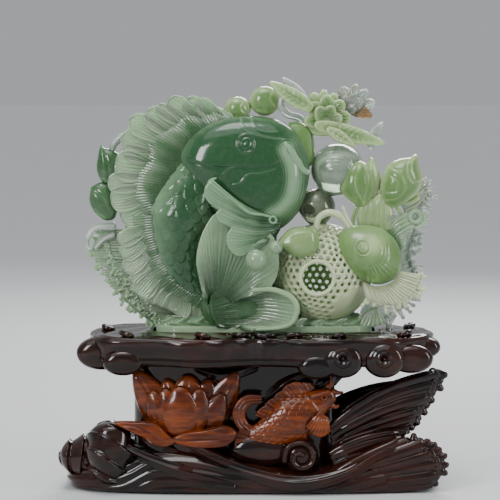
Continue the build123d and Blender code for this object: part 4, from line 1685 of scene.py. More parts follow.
# ------------------------------------------------------------------ the goldfish
@dataclass
class Goldfish:
    """The small fish at the right, with its fin and its frilled skirt."""

    shop: Workshop

    def build(self) -> None:
        """Make the goldfish."""
        seat = Seat.of("goldfish_body")
        outline = seat.line([
            (-0.12, 0.59), (-0.08, 0.81), (0.02, 0.95), (0.2, 1.02), (0.43, 1.02), (0.66, 0.97), (0.84, 0.84),
            (0.96, 0.65), (1.0, 0.43), (0.96, 0.24), (0.82, 0.12), (0.62, 0.06), (0.42, 0.09), (0.22, 0.17),
            (0.02, 0.33), (-0.08, 0.47),
        ])
        eye = seat.line([(0.33, 0.69)])[0]

        def relief(spot: np.ndarray) -> np.ndarray:
            """The ringed eye, the gill arcs and the scratched belly."""
            x, z = (spot - eye).T
            away = np.hypot(x, z)
            right = np.clip(x / 6, 0, 1)
            arcs = sum(np.exp(-(((away - radius) / 0.8) ** 2)) for radius in (15, 18.5))
            height = -0.35 * right * arcs
            for radius, width, rise in ((6.0, 0.7, 0.9), (4.4, 0.8, -0.6), (2.8, 0.7, 0.7), (0.0, 1.4, 1.1)):
                height += rise * np.exp(-(((away - radius) / width) ** 2))
            low = np.clip(-(z + 10) / 6, 0, 1) * right
            return height + 0.35 * low * np.cos(np.arctan2(z, x) * 46)

        body = pillow(
            "goldfish_body_carved", outline, seat.low[1], seat.low[1] + seat.size[1], 2.1, relief, 200, 90,
            both=False,
        )
        spot = coordinates(body)[:, [0, 2]] / MM
        away = np.hypot(*(spot - eye - (7, 1)).T)
        brow = np.clip((spot[:, 1] - eye[1]) / 20, 0, 1)
        stain(body, 0.75 - 0.55 * np.exp(-((away / 7) ** 2)) - 0.25 * brow)
        self.shop.deliver(body, LEAF, "goldfish_body")
        self.dorsal_fin()
        self.skirt()

    def dorsal_fin(self) -> None:
        """Carve the sweeping fin with the small ring at its end."""
        seat = Seat.of("goldfish_dorsal_fin")
        root = seat.curve([(-0.4, 0.44), (-0.1, 0.32), (0.15, 0.1), (0.3, -0.08)], 80)
        rim = seat.curve([
            (-0.05, 0.66), (0.28, 0.66), (0.52, 0.72), (0.58, 0.56), (0.7, 0.5), (0.66, 0.4), (0.47, 0.28),
            (0.42, 0.04),
        ], 160)
        fin = Fan("goldfish_fin", root, rim, (-11, -13), 12, 0.5, 2.4, sag=(0, 4), bow=1.5, depth=(0.7, 0.1),
                  samples=6).build()
        loop = ring("goldfish_fin", seat.at(0.74, 0.0, 0.66), 4.2, (1.6, 1.4), 48)
        hook = seat.route(((0.88, 0, 0.75), (1.0, 0, 0.68), (0.98, 0, 0.5), (0.75, 0, 0.42)))
        tail = rod("goldfish_fin", hook, [1.4, 1.6, 1.2], 0.9, 3, 0.15)
        self.shop.join("goldfish_dorsal_fin", [fin, stain(loop, 0.1), stain(tail, 0.1)], PALE)

    def skirt(self) -> None:
        """Carve the white skirt with its foamy hem."""
        seat = Seat.of("goldfish_skirt")
        root = seat.curve([(0.05, 0.7), (0.2, 0.6), (0.36, 0.62), (0.5, 0.72), (0.63, 0.95)], 80)
        hem = seat.curve([
            (0.1, 0.36), (0.34, 0.25), (0.55, 0.25), (0.74, 0.42), (0.85, 0.65), (0.9, 0.9),
        ], 160)
        sheet_piece = Fan("skirt", root, hem, (-26, -31), 20, 0.6, 2.4, bow=2.0, depth=(0.6, 0.0)).build()
        foam = lace("skirt", hem[::-1], -30, 8.5, 3, 1.4)
        self.shop.join("goldfish_skirt", [sheet_piece, stain(foam, -0.2)], MILK)


# ------------------------------------------------------------------ foam and the foot
@dataclass
class Shore:
    """The carved foam round the stone's edges, the corner fan and the foot."""

    shop: Workshop
    finger: float = 8.5

    def build(self) -> None:
        """Make the foam, the corner fan and the bed over the foot."""
        self.right_foam()
        self.left_foam()
        self.corner_fan()
        self.bed()

    def right_foam(self) -> None:
        """Carve the clear lace behind the goldfish."""
        seat = Seat.of("right_foam")
        root = seat.curve([
            (0.5, 0.8), (0.62, 0.71), (0.58, 0.6), (0.55, 0.48), (0.53, 0.37), (0.45, 0.26), (0.23, 0.18),
            (0.05, 0.11), (0.0, 0.04),
        ], 160)
        rim = seat.curve([
            (0.86, 0.9), (0.95, 0.83), (0.86, 0.73), (0.79, 0.61), (0.73, 0.5), (0.71, 0.41), (0.8, 0.29),
            (0.66, 0.14), (0.3, 0.02),
        ], 200)
        plate = Fan("right_foam", root, rim, (8, 8), 34, 0.3, 1.8, depth=(0.2, 0.0), samples=4,
                    rows=16).build()
        fringe = lace("right_foam", rim, 7, self.finger, 11, 1.45)
        self.shop.join("right_foam", [plate, stain(fringe, 0.0)], CLEAR)
        ribs = [
            rod("foam_rib", seat.route((u, 0.2, v) for u, v in middle), [0.8, 0.8, 0.8], around=12, along=30)
            for middle in (
                [(0.62, 0.8), (0.78, 0.85), (0.93, 0.93)],
                [(0.62, 0.76), (0.78, 0.8), (0.95, 0.89)],
                [(0.62, 0.72), (0.8, 0.76), (0.97, 0.84)],
            )
        ]
        self.shop.deliver(stain(weld("foam_ribs", ribs), 0.0), MILK)

    def left_foam(self) -> None:
        """Carve the milky edge under the rear fin."""
        seat = Seat.of("left_foam")
        root = seat.curve([
            (1.4, 0.0), (1.06, 0.15), (0.81, 0.35), (0.68, 0.57), (0.65, 0.86), (0.71, 1.06),
        ], 160)
        rim = seat.curve([
            (0.784, 0.0), (0.584, 0.109), (0.397, 0.267), (0.235, 0.448), (0.085, 0.651), (0.01, 0.832),
            (0.135, 1.058),
        ], 200)
        plate = Fan("left_foam", root, rim, (0, 5), 44, 0.3, 5.0, depth=(0.9, 0.05), samples=5,
                    rows=24).build()
        fringe = lace("left_foam", rim, 5, self.finger * 0.8, 5, 1.5)
        self.shop.join("left_foam", [plate, stain(fringe, 0.0)], PALE)
        for u, v, seed in ((0.3, 0.5, 1), (0.5, 0.3, 2), (0.2, 0.75, 3), (0.72, 0.14, 4)):
            inner = seat.curve([(u + 0.16, v - 0.2), (u + 0.02, v), (u - 0.04, v + 0.22)], 40)
            crest = lace("left_foam_crest", inner, 0.5, 6.0, seed, 1.2)
            self.shop.deliver(stain(crest, 0.1), PALE)

    def corner_fan(self) -> None:
        """Carve the little ribbed fan at the lower right corner."""
        seat = Seat.of("corner_fan")
        root = seat.curve([(0.7, 0.55), (0.8, 0.6), (0.9, 0.62)], 30)
        rim = seat.curve([(0.15, 0.0), (0.48, -0.1), (0.83, -0.1), (1.12, 0.1)], 60)
        fan = Fan("corner_fan_carved", root, rim, (-12, -13), 8, 0.7, 2.2, depth=(0.3, 0.05), samples=8,
                  rows=20).build()
        self.shop.deliver(fan, PALE, "corner_fan")

    def bed(self) -> None:
        """Round over the foot where the carving grows out of it."""
        seat = Seat.of("jade_foot")
        self.shop.keep("jade_foot", PALE)
        route = seat.route((u, 0.45, v) for u, v in ((0.02, 1.1), (0.3, 1.35), (0.65, 1.2), (0.98, 1.1)))
        bed = rod("stone_bed", route, [5, 8.5, 9, 8.5, 6], flat=2.2, flutes=0, cap=0.05, around=90, along=160,
                  skin=lambda share, angle, along: 0.7 * np.sin(along / 2.3 + 2 * np.sin(angle * 3)))
        self.shop.deliver(stain(bed, 0.45), PALE)


# ------------------------------------------------------------------ the wooden stand
def plan_form(
    name: str,
    inner: Callable[[np.ndarray], np.ndarray],
    outer: Callable[[np.ndarray], np.ndarray],
    rows: Sequence[Pair],
    height: Callable[[np.ndarray, np.ndarray], np.ndarray],
    around: int = 360,
    along: int = 96,
) -> tuple[bpy.types.Object, np.ndarray, np.ndarray, np.ndarray]:
    """A closed form built up in level rings between two outlines seen from above.

    Args:
        name: The piece's name.
        inner: The inner outline, X and Y from the angle.
        outer: The outer outline, X and Y from the angle.
        rows: The rings from the bottom up: 1 is the inner outline and 2 the outer one, and a level.
        height: Z from the plan place and the level.
        around: Vertices round each ring.
        along: How many rings.

    Returns:
        The piece, its vertices' places, each one's angle, and each one's ring number as a share.
    """
    piece, angle, share = egg(name, around, along)
    table = np.array(rows, float)
    where = np.linspace(0, 1, len(table))
    reach, level = np.interp(share, where, table[:, 0]), np.interp(share, where, table[:, 1])
    inside_line, outside_line = inner(angle), outer(angle)
    spot = np.where(
        reach[:, None] < 1, inside_line * reach[:, None],
        inside_line + (outside_line - inside_line) * (reach[:, None] - 1)
    )
    places = np.stack([spot[:, 0], spot[:, 1], height(spot, level)], axis=1)
    return piece, places, angle, share


def rounded(half: Pair, centre: Pair, squareness: float) -> Callable[[np.ndarray], np.ndarray]:
    """An outline between an ellipse and a rectangle, by angle.

    Args:
        half: Half its width and half its depth.
        centre: Its middle.
        squareness: 2 for an ellipse, more for squarer.

    Returns:
        A function from angles to X and Y.
    """

    def outline(angle: np.ndarray) -> np.ndarray:
        """X and Y at each angle."""
        power = 2 / squareness
        x = np.sign(np.cos(angle)) * np.abs(np.cos(angle)) ** power
        y = np.sign(np.sin(angle)) * np.abs(np.sin(angle)) ** power
        return np.stack([centre[0] + half[0] * x, centre[1] + half[1] * y], axis=1)

    return outline


@dataclass
class Sea:
    """The plinth of rolling waves, the rolls and the breaking crests."""

    shop: Workshop
    ridge: float = 1.5
    wave: float = 7.0

    def build(self) -> None:
        """Make the plinth and its waves."""
        self.plinth()
        self.rolls()
        self.crests()
        self.swells()
        self.curl()

    def plinth(self) -> None:
        """Carve the plinth, ridged like flowing water."""
        seat = Seat.of("wave_base")
        half = (seat.size[0] / 2, seat.size[1] / 2)
        low = seat.low[2]
        crown = smooth(np.array([
            (-145, 18), (-110, 27), (-70, 33), (-40, 31), (0, 22), (35, 16), (70, 21), (110, 25), (145, 18),
        ], float), 200)
        valley = smooth(np.array([
            (-145, 4), (-100, 12), (-70, 26), (-30, 20), (10, 9), (40, 6), (80, 14), (120, 26), (145, 30),
        ], float), 200)

        def height(spot: np.ndarray, level: np.ndarray) -> np.ndarray:
            """From the underside to the rolling top."""
            return low + level * (np.interp(spot[:, 0], *crown.T) - low)

        rows = [(0, 0), (1, 0), (1.6, 0), (1.93, 0), (1.985, 0.06), (2.0, 0.25), (2.0, 0.5), (1.96, 0.72),
                (1.85, 0.9), (1.6, 1.0), (1.3, 1.02), (1, 1.0), (0, 1.0)]
        piece, places, _, share = plan_form(
            "wave_base_carved", rounded((half[0] * 0.4, half[1] * 0.4), (0, 0), 3),
            rounded((half[0] - 1.5, half[1] - 1.5), (0, 0), 3.6), rows, height,
        )
        phase = (places[:, 2] - np.interp(places[:, 0], *valley.T)) / self.wave
        rough = np.sin(places[:, 0] / 17) * 0.3
        crest = (0.5 + 0.5 * np.cos(FULL_TURN * (phase + rough))) ** 1.6
        side = np.clip((share - 0.3) * 12, 0, 1) * np.clip((0.8 - share) * 8, 0, 1)
        out = places[:, :2] / np.linalg.norm(places[:, :2], axis=1, keepdims=True).clip(1)
        places[:, :2] += out * (self.ridge * (crest - 0.5) * side)[:, None]
        top = np.clip((share - 0.62) * 8, 0, 1) * np.clip((1 - share) * 12, 0, 1)
        swirl = np.hypot(places[:, 0] + 40, places[:, 1] * 1.6 + 10) / 9
        places[:, 2] += 1.2 * np.cos(FULL_TURN * swirl) * top
        places[:, 2] = np.maximum(places[:, 2], low)
        self.shop.deliver(outward(carve(piece, places)), EBONY, "wave_base")

    def rolls(self) -> None:
        """Carve the two rolled waves at the left."""
        seat = Seat.of("left_scroll")

        def bands(count: float, slant: float) -> Callable[[np.ndarray, np.ndarray, np.ndarray], np.ndarray]:
            """Raised bands that wrap a roll, slanting round it."""

            def skin(share: np.ndarray, angle: np.ndarray, along: np.ndarray) -> np.ndarray:
                """Height of the bands."""
                turn = (count * share + slant * np.cos(angle) + 0.5 * slant * np.sin(angle)) % 1
                return 3.0 * np.minimum(turn**1.4, (1 - turn) * 9) * np.sin(math.pi * share) ** 0.4

            return skin

        big = rod(
            "roll", seat.route(((0.62, 0.35, -0.05), (0.6, 0.2, 0.45), (0.58, 0.28, 0.98))),
            [13, 17.5, 17.5, 13], 1.05, cap=0.2, around=140, along=180, skin=bands(4.6, 0.8),
        )
        small = rod(
            "roll", seat.route(((0.0, 0.5, 0.22), (0.16, 0.42, 0.35), (0.45, 0.4, 0.42))),
            [10, 14.5, 14], 1.1, cap=0.3, around=120, along=110, skin=bands(3.6, 0.5),
        )
        back = rod(
            "roll", seat.route(((0.3, 0.95, 0.1), (0.45, 1.2, 0.4), (0.75, 1.3, 0.6))),
            [10, 15, 12], 1.1, flutes=12, cut=0.12, twist=0.4, cap=0.25, around=96, along=60,
        )
        self.shop.join("left_scroll", [big, small, back], EBONY)

    def crest(
        self, name: str, node: str, root: Sequence[Pair], rim: Sequence[Pair], front: Pair, sag: Pair,
        rays: int = 6, seed: int = 1, thickness: float = 9.0, foam: tuple[int, int] = (0, 130),
    ) -> list[bpy.types.Object]:
        """One breaking crest: a ridged sheet that ends in foam fingers with drilled holes.

        Args:
            name: The sheet's name.
            node: The CAD node whose box it fills.
            root: Its root line, as shares of that box.
            rim: Its foaming rim, as shares of that box.
            front: Y at the root and at the rim.
            sag: How far its middle rays bend, as X and Z.
            rays: Ridges along it.
            seed: Picks the foam's fingers.
            thickness: Its thickness.
            foam: The part of the rim that foams, out of 160 samples.

        Returns:
            The sheet, its foam and its rings.
        """
        seat = Seat.of(node)
        rim_line = seat.curve(rim, 160)
        sheet_piece = Fan(
            name, seat.curve(root, 80), rim_line, front, rays, 1.7, thickness, sag=sag, samples=14, rows=44,
            bow=3.0,
        ).build()
        dice = np.random.default_rng(seed)
        edge = rim_line[foam[0]:foam[1]]
        beads, rings = [], []
        step = np.gradient(edge, axis=0)
        left = np.stack([-step[:, 1], step[:, 0]], axis=1) / np.linalg.norm(step, axis=1, keepdims=True)
        for index in range(4, len(edge) - 4, 13):
            reach = dice.uniform(1.0, 5.5)
            for part in range(4):
                x, z = edge[index] + left[index] * reach * part / 3
                beads.append((x, front[1], z, 3.4 - 0.25 * part))
            x, z = edge[index] - left[index] * 4.5
            rings.append(ring(name, np.array([x, front[1] - thickness / 2 - 0.2, z]), 2.6, (0.9, 1.2), 36))
        foam_piece = skin_of(name, beads, 0.8)
        return [sheet_piece, foam_piece, *rings]

    def crests(self) -> None:
        """Carve the upper and the lower crest at the right, and the swell between them."""
        made = self.crest(
            "upper_crest", "upper_wave_crest", [(0.02, 0.42), (0.05, 0.2), (0.12, 0.05)],
            [(1.0, 0.99), (0.95, 0.8), (0.86, 0.62), (0.78, 0.5), (0.7, 0.36), (0.58, 0.3)],
            (-30, -20), (-2, 7), seed=4,
        )
        self.shop.join("upper_wave_crest", made, EBONY)
        made = self.crest(
            "lower_crest", "lower_wave_crest", [(-0.3, 0.3), (-0.25, 0.1), (-0.2, -0.05)],
            [(0.5, 1.05), (0.8, 0.98), (0.98, 0.7), (1.0, 0.4), (0.9, 0.05)], (-40, -38), (0, 2), seed=9,
            rays=6,
            thickness=12, foam=(30, 160),
        )
        self.shop.join("lower_wave_crest", made, EBONY)
        made = self.crest(
            "middle_swell", "upper_wave_crest", [(0.02, 0.15), (0.06, 0.02), (0.1, -0.08)],
            [(0.62, 0.36), (0.66, 0.2), (0.56, 0.08)], (-36, -30), (0, 4), rays=4, seed=12,
        )
        back = self.crest(
            "back_swell", "upper_wave_crest", [(0.0, 0.5), (0.02, 0.2), (0.1, 0.0)],
            [(0.9, 0.8), (0.85, 0.5), (0.6, 0.2)], (26, 12), (-2, 6), rays=6, seed=15,
        )
        self.shop.deliver(weld("swells_carved", [*made, *back]), EBONY)

    def swells(self) -> None:
        """Carve the long ribbons of water along the front and the back."""
        base = Seat.of("wave_base")
        ribbons = []
        for route, radii, flutes in (
            (((0.3, 0.1, 1.35), (0.38, 0.06, 0.9), (0.5, 0.03, 0.45), (0.62, 0.02, 0.22), (0.74, 0.03, 0.4),
              (0.84, 0.08, 0.85), (0.94, 0.14, 1.0)), [3, 5, 6, 6.5, 6.5, 5, 3], 6),
            (((0.16, 0.1, 1.1), (0.24, 0.05, 0.75), (0.34, 0.03, 0.4), (0.46, 0.02, 0.15)), [3, 6, 6, 3], 6),
            (((0.2, 0.16, 1.4), (0.25, 0.12, 1.05), (0.33, 0.1, 0.75)), [4, 5.5, 3], 4),
            (((0.27, 0.16, 1.3), (0.32, 0.12, 1.0), (0.4, 0.1, 0.7)), [4, 5, 3], 4),
            (((0.1, 0.9, 0.6), (0.3, 0.97, 0.9), (0.5, 0.98, 0.4), (0.7, 0.97, 0.7), (0.9, 0.88, 0.5)),
             [4, 7, 6, 7, 4], 6),
            (((0.25, 0.8, 1.3), (0.42, 0.88, 0.9), (0.6, 0.9, 1.0), (0.75, 0.82, 1.3)), [4, 7, 7, 3], 6),
        ):
            places = base.route(route)
            ribbons.append(rod("ribbon", places, radii, 0.8, flutes, 0.22, 0.25, 60, 90, 0.05))
        core = Seat.of("core_block")
        for route, radii in (
            (((0.62, 0.0, 0.62), (0.76, -0.06, 0.82), (0.86, -0.05, 0.92)), [3, 5, 3]),
            (((0.3, -0.02, 0.98), (0.45, -0.05, 0.9), (0.62, -0.02, 0.98)), [3, 5, 3]),
            (((0.9, 0.0, 0.75), (0.98, -0.03, 0.86), (1.05, 0.05, 0.98)), [4, 6, 4]),
            (((0.1, 1.0, 0.3), (0.3, 1.05, 0.7), (0.6, 1.04, 0.6), (0.9, 1.0, 0.9)), [5, 8, 8, 5]),
            (((0.2, 1.0, 0.9), (0.5, 1.04, 0.35), (0.8, 1.0, 0.25)), [5, 7, 5]),
        ):
            places = core.route(route)
            ribbons.append(rod("ribbon", places, radii, 0.8, 5, 0.2, 0.2, 60, 60, 0.08))
        self.shop.deliver(weld("water_ribbons", ribbons), EBONY)
        self.shop.keep("core_block", EBONY)

    def curl(self) -> None:
        """Carve the smooth basin and the spiral that curls in it."""
        seat = Seat.of("trough_curl")
        middle = seat.at(0.5, 0, 0.5)
        flat = spiral((middle[0], middle[2]), 200, 13, 1.5, -1.6)
        sink = np.linspace(middle[1] + 4, middle[1] - 3, len(flat))
        route = np.stack([flat[:, 0], sink, flat[:, 1]], axis=1)
        coil = rod("coil", route[::6], [3.4, 3.4, 3.0, 2.6, 2.0], 1.1, 3, 0.2, 0.0, 36, 160, 0.03)
        flat_middle = middle[[0, 2]]
        disc = pillow("coil", flat_middle + circle(12) * 13, middle[1] + 2, middle[1] + 22, 2.4, None, 64, 24)
        bowl = pillow(
            "coil", flat_middle + (-30, 4) + circle(12) * (24, 13), middle[1] + 4, middle[1] + 24, 2.6, None,
            64, 24,
        )
        self.shop.join("trough_curl", [coil, disc, bowl], EBONY)


@dataclass
class Slab:
    """The cloud slab with the seat of the stone, its curls and its hanging lobes."""

    shop: Workshop
    clearance: float = 0.5
    curls: int = 15

    def build(self) -> None:
        """Make the slab and what is carved on it."""
        seat, foot = Seat.of("cloud_slab"), Seat.of("jade_foot")
        low, size = seat.low[2], seat.size[2]
        middle = foot.low[:2] + foot.size[:2] / 2
        recess = rounded(tuple(foot.size[:2] / 2 + self.clearance + 1.5), tuple(middle), 6)
        line = smooth(seat.low[:2] + np.array([
            (0.0, 0.4), (0.04, 0.12), (0.17, 0.05), (0.35, 0.0), (0.56, 0.03), (0.73, 0.0), (0.89, 0.07),
            (0.985, 0.33), (0.985, 0.65), (0.87, 0.9), (0.67, 0.97), (0.47, 1.0), (0.25, 0.95), (0.06, 0.88),
            (0.0, 0.63),
        ]) * seat.size[:2], 720, closed=True)
        arm = line - middle
        bearing, reach = sorted_turn(np.arctan2(arm[:, 1], arm[:, 0]), np.hypot(*arm.T))

        def rim(angle: np.ndarray) -> np.ndarray:
            """The slab's outline, a little scalloped."""
            far = np.interp(angle, bearing, reach, period=FULL_TURN) - 0.8 + 0.7 * np.sin(angle * 23)
            return middle + far[:, None] * np.stack([np.cos(angle), np.sin(angle)], axis=1)

        def plan(angle: np.ndarray) -> np.ndarray:
            """The recess outline at the same bearing as the rim."""
            edge = recess(np.linspace(0, FULL_TURN, 2000)) - middle
            way, far = sorted_turn(np.arctan2(edge[:, 1], edge[:, 0]), np.hypot(*edge.T))
            out = np.interp(angle, way, far, period=FULL_TURN)
            return middle + out[:, None] * np.stack([np.cos(angle), np.sin(angle)], axis=1)

        floor = (foot.low[2] - low - 0.3) / size
        rows = [
            (1.0, 0.02), (1.0, 0.0), (1.5, 0.0), (1.84, 0.0), (1.93, 0.05), (1.97, 0.16), (1.96, 0.3),
            (1.97, 0.44), (2.0, 0.64), (2.0, 0.8), (1.96, 0.89), (1.88, 0.93), (1.7, 0.945), (1.4, 0.955),
            (1.2, 0.975), (1.04, 1.0), (1.0, 0.985), (1.0, floor), (1.0, floor),
        ]
        piece, places, angle, share = plan_form(
            "cloud_slab_carved", plan, rim, rows, lambda spot, level: low + level * size, 480, 110,
        )
        poles = (share < 1e-6) | (share > 1 - 1e-6)
        places[poles, :2] = middle
        out = (places[:, :2] - middle) / np.linalg.norm(places[:, :2] - middle, axis=1, keepdims=True).clip(1)
        side = np.clip((share - 0.12) * 12, 0, 1) * np.clip((0.6 - share) * 8, 0, 1)
        cloud = np.abs(np.sin(angle * 8 + 1.2 * np.sin(angle * 3))) ** 0.6
        band = np.exp(-(((places[:, 2] - low) / size - 0.68) / 0.2) ** 2)
        places[:, :2] += out * ((1.6 * (cloud - 0.6) * band + 0.9 * np.sin(angle * 5 + 1)) * side)[:, None]
        bottom = np.clip(1 - (places[:, 2] - low) / size / 0.5, 0, 1) * side
        places[:, 2] += 1.8 * (0.5 + 0.5 * np.sin(angle * 7 + 2 * np.sin(angle * 2))) * bottom
        top = np.clip((share - 0.5) * 10, 0, 1) * np.clip((0.84 - share) * 14, 0, 1)
        places[:, 2] += 0.5 * np.sin(angle * 19 + share * 40) * top
        self.shop.deliver(outward(carve(piece, places)), EBONY, "cloud_slab")

        strands = []
        for number in range(self.curls):
            turn = FULL_TURN * (number + 0.35) / self.curls
            edge, hole = rim(np.array([turn]))[0], plan(np.array([turn]))[0]
            spot = hole + (edge - hole) * 0.72
            flat = spiral((0, 0), 40 + 70 * number, 5.2 + number % 3, 1.4, 1.3 if number % 2 else -1.3, 26)
            way = (edge - hole) / np.linalg.norm(edge - hole)
            side = np.array([-way[1], way[0]])
            plan_spots = spot + flat[:, :1] * side * 1.3 + flat[:, 1:] * way * 0.8
            far = ((plan_spots - hole) @ way) / np.linalg.norm(edge - hole)
            level = np.interp(far, [0.0, 0.2, 0.4, 0.65, 0.87, 1.0], [0.99, 0.975, 0.955, 0.95, 0.93, 0.8])
            route = np.column_stack([plan_spots, low + size * level + 1.3 + 0.3 * flat[:, 1]])
            strands.append(rod("curl", route[::3], [1.4, 2.0, 1.9, 1.4], 1.0, around=14, along=60, cap=0.04))
        self.shop.deliver(weld("slab_curls", strands), EBONY)
        self.lobes()

    def lobes(self) -> None:
        """Carve the rolled cloud lobes under the slab's ends."""
        seat, slab = Seat.of("cloud_lobes"), Seat.of("cloud_slab")
        made = []
        for across, up, radius, front, eyes in (
            (0.035, 1.7, 12.5, 0.18, 0), (0.1, 1.3, 10, 0.05, 0), (0.74, 1.5, 13.5, -0.005, 1),
            (0.86, 1.5, 13.5, 0.005, 1), (0.94, 1.5, 11, 0.08, 0), (0.665, 1.1, 9.5, 0.0, 0),
            (0.3, 1.8, 12, 0.78, 1), (0.7, 1.8, 12, 0.78, 1), (0.985, 2.0, 8, 0.25, 0),
        ):
            middle = seat.at(across, 0, up)
            eye = middle[[0, 2]] + (0, 1.5)

            def drilled(spot: np.ndarray, eye: np.ndarray = eye, eyes: int = eyes) -> np.ndarray:
                """Rings round a drilled eye."""
                away = np.hypot(*(spot - eye).T)
                return eyes * (0.9 * np.exp(-(((away - 4.2) / 0.9) ** 2)) - 2.5 * np.exp(-((away / 2.2) ** 2))
                               + 0.5 * np.exp(-(((away - 7) / 0.8) ** 2)))

            wide = 1.15 if eyes else 1.55
            outline = middle[[0, 2]] + circle(16) * (wide * radius, radius)
            y = slab.low[1] + front * slab.size[1]
            made.append(pillow("lobe", outline, y, y + 24, 3.6, drilled, 84, 46, both=False))
        self.shop.join("cloud_lobes", made, EBONY)


@dataclass
class Lotus:
    """The amber lotus in front of the core."""

    shop: Workshop

    def build(self) -> None:
        """Set the petals from the back to the front, and the drooping leaves."""
        seat = Seat.of("lotus_flower")
        front = seat.low[1]
        made = []
        for base, tip, width, layer, belly, crown in (
            ((0.33, 0.12), (0.0, 1.06), 27, 10, 0.62, 2.6),
            ((0.72, 0.12), (1.02, 1.06), 25, 10, 0.62, 2.6),
            ((0.44, 0.15), (0.3, 0.9), 26, 9, 0.62, 2.6),
            ((0.6, 0.15), (0.75, 0.9), 26, 9, 0.62, 2.6),
            ((0.52, 0.15), (0.53, 0.98), 34, 7, 0.66, 2.6),
            ((0.34, 0.08), (0.16, 0.74), 21, 3, 0.7, 2.0),
            ((0.7, 0.08), (0.88, 0.7), 21, 3, 0.7, 2.0),
            ((0.38, 0.02), (0.3, 0.8), 22, 0, 0.8, 2.0),
            ((0.56, 0.02), (0.66, 0.8), 22, 0, 0.8, 2.0),
            ((0.46, -0.03), (0.45, 0.84), 29, -3, 0.85, 2.0),
        ):
            start, end = seat.line([base, tip])
            vein = np.stack([start, (start + end) / 2, end])
            made.append(Plaque(
                "lotus", leaf(start, end, width, belly, 0.62), front + layer, front + layer + 13, crown, 0.9,
                lines=(vein,) if layer > 5 else (), cut=0.7, around=92, along=40,
            ).build())
        self.shop.join("lotus_flower", made, AMBER)
        seat = Seat.of("lotus_leaves")
        made = [
            Plaque("leaf", seat.line(outline), seat.low[1] + 3, seat.low[1] + 13, 3.2, 1.3,
                   lines=(seat.curve(vein, 30),), cut=1.0, around=110, along=40).build()
            for outline, vein in (
                ([(-0.03, 1.0), (0.15, 1.05), (0.33, 0.95), (0.42, 0.55), (0.5, 0.15), (0.42, -0.08),
                  (0.3, 0.0),
                  (0.22, 0.35), (0.1, 0.62)], [(0.0, 0.95), (0.2, 0.75), (0.4, 0.1)]),
                ([(0.46, 0.25), (0.56, 0.55), (0.75, 0.7), (0.92, 0.85), (1.02, 0.6), (1.0, 0.2),
                  (0.9, -0.08),
                  (0.7, -0.12), (0.54, 0.0)], [(0.5, 0.2), (0.75, 0.25), (0.98, 0.3)]),
            )
        ]
        self.shop.join("lotus_leaves", made, AMBER)


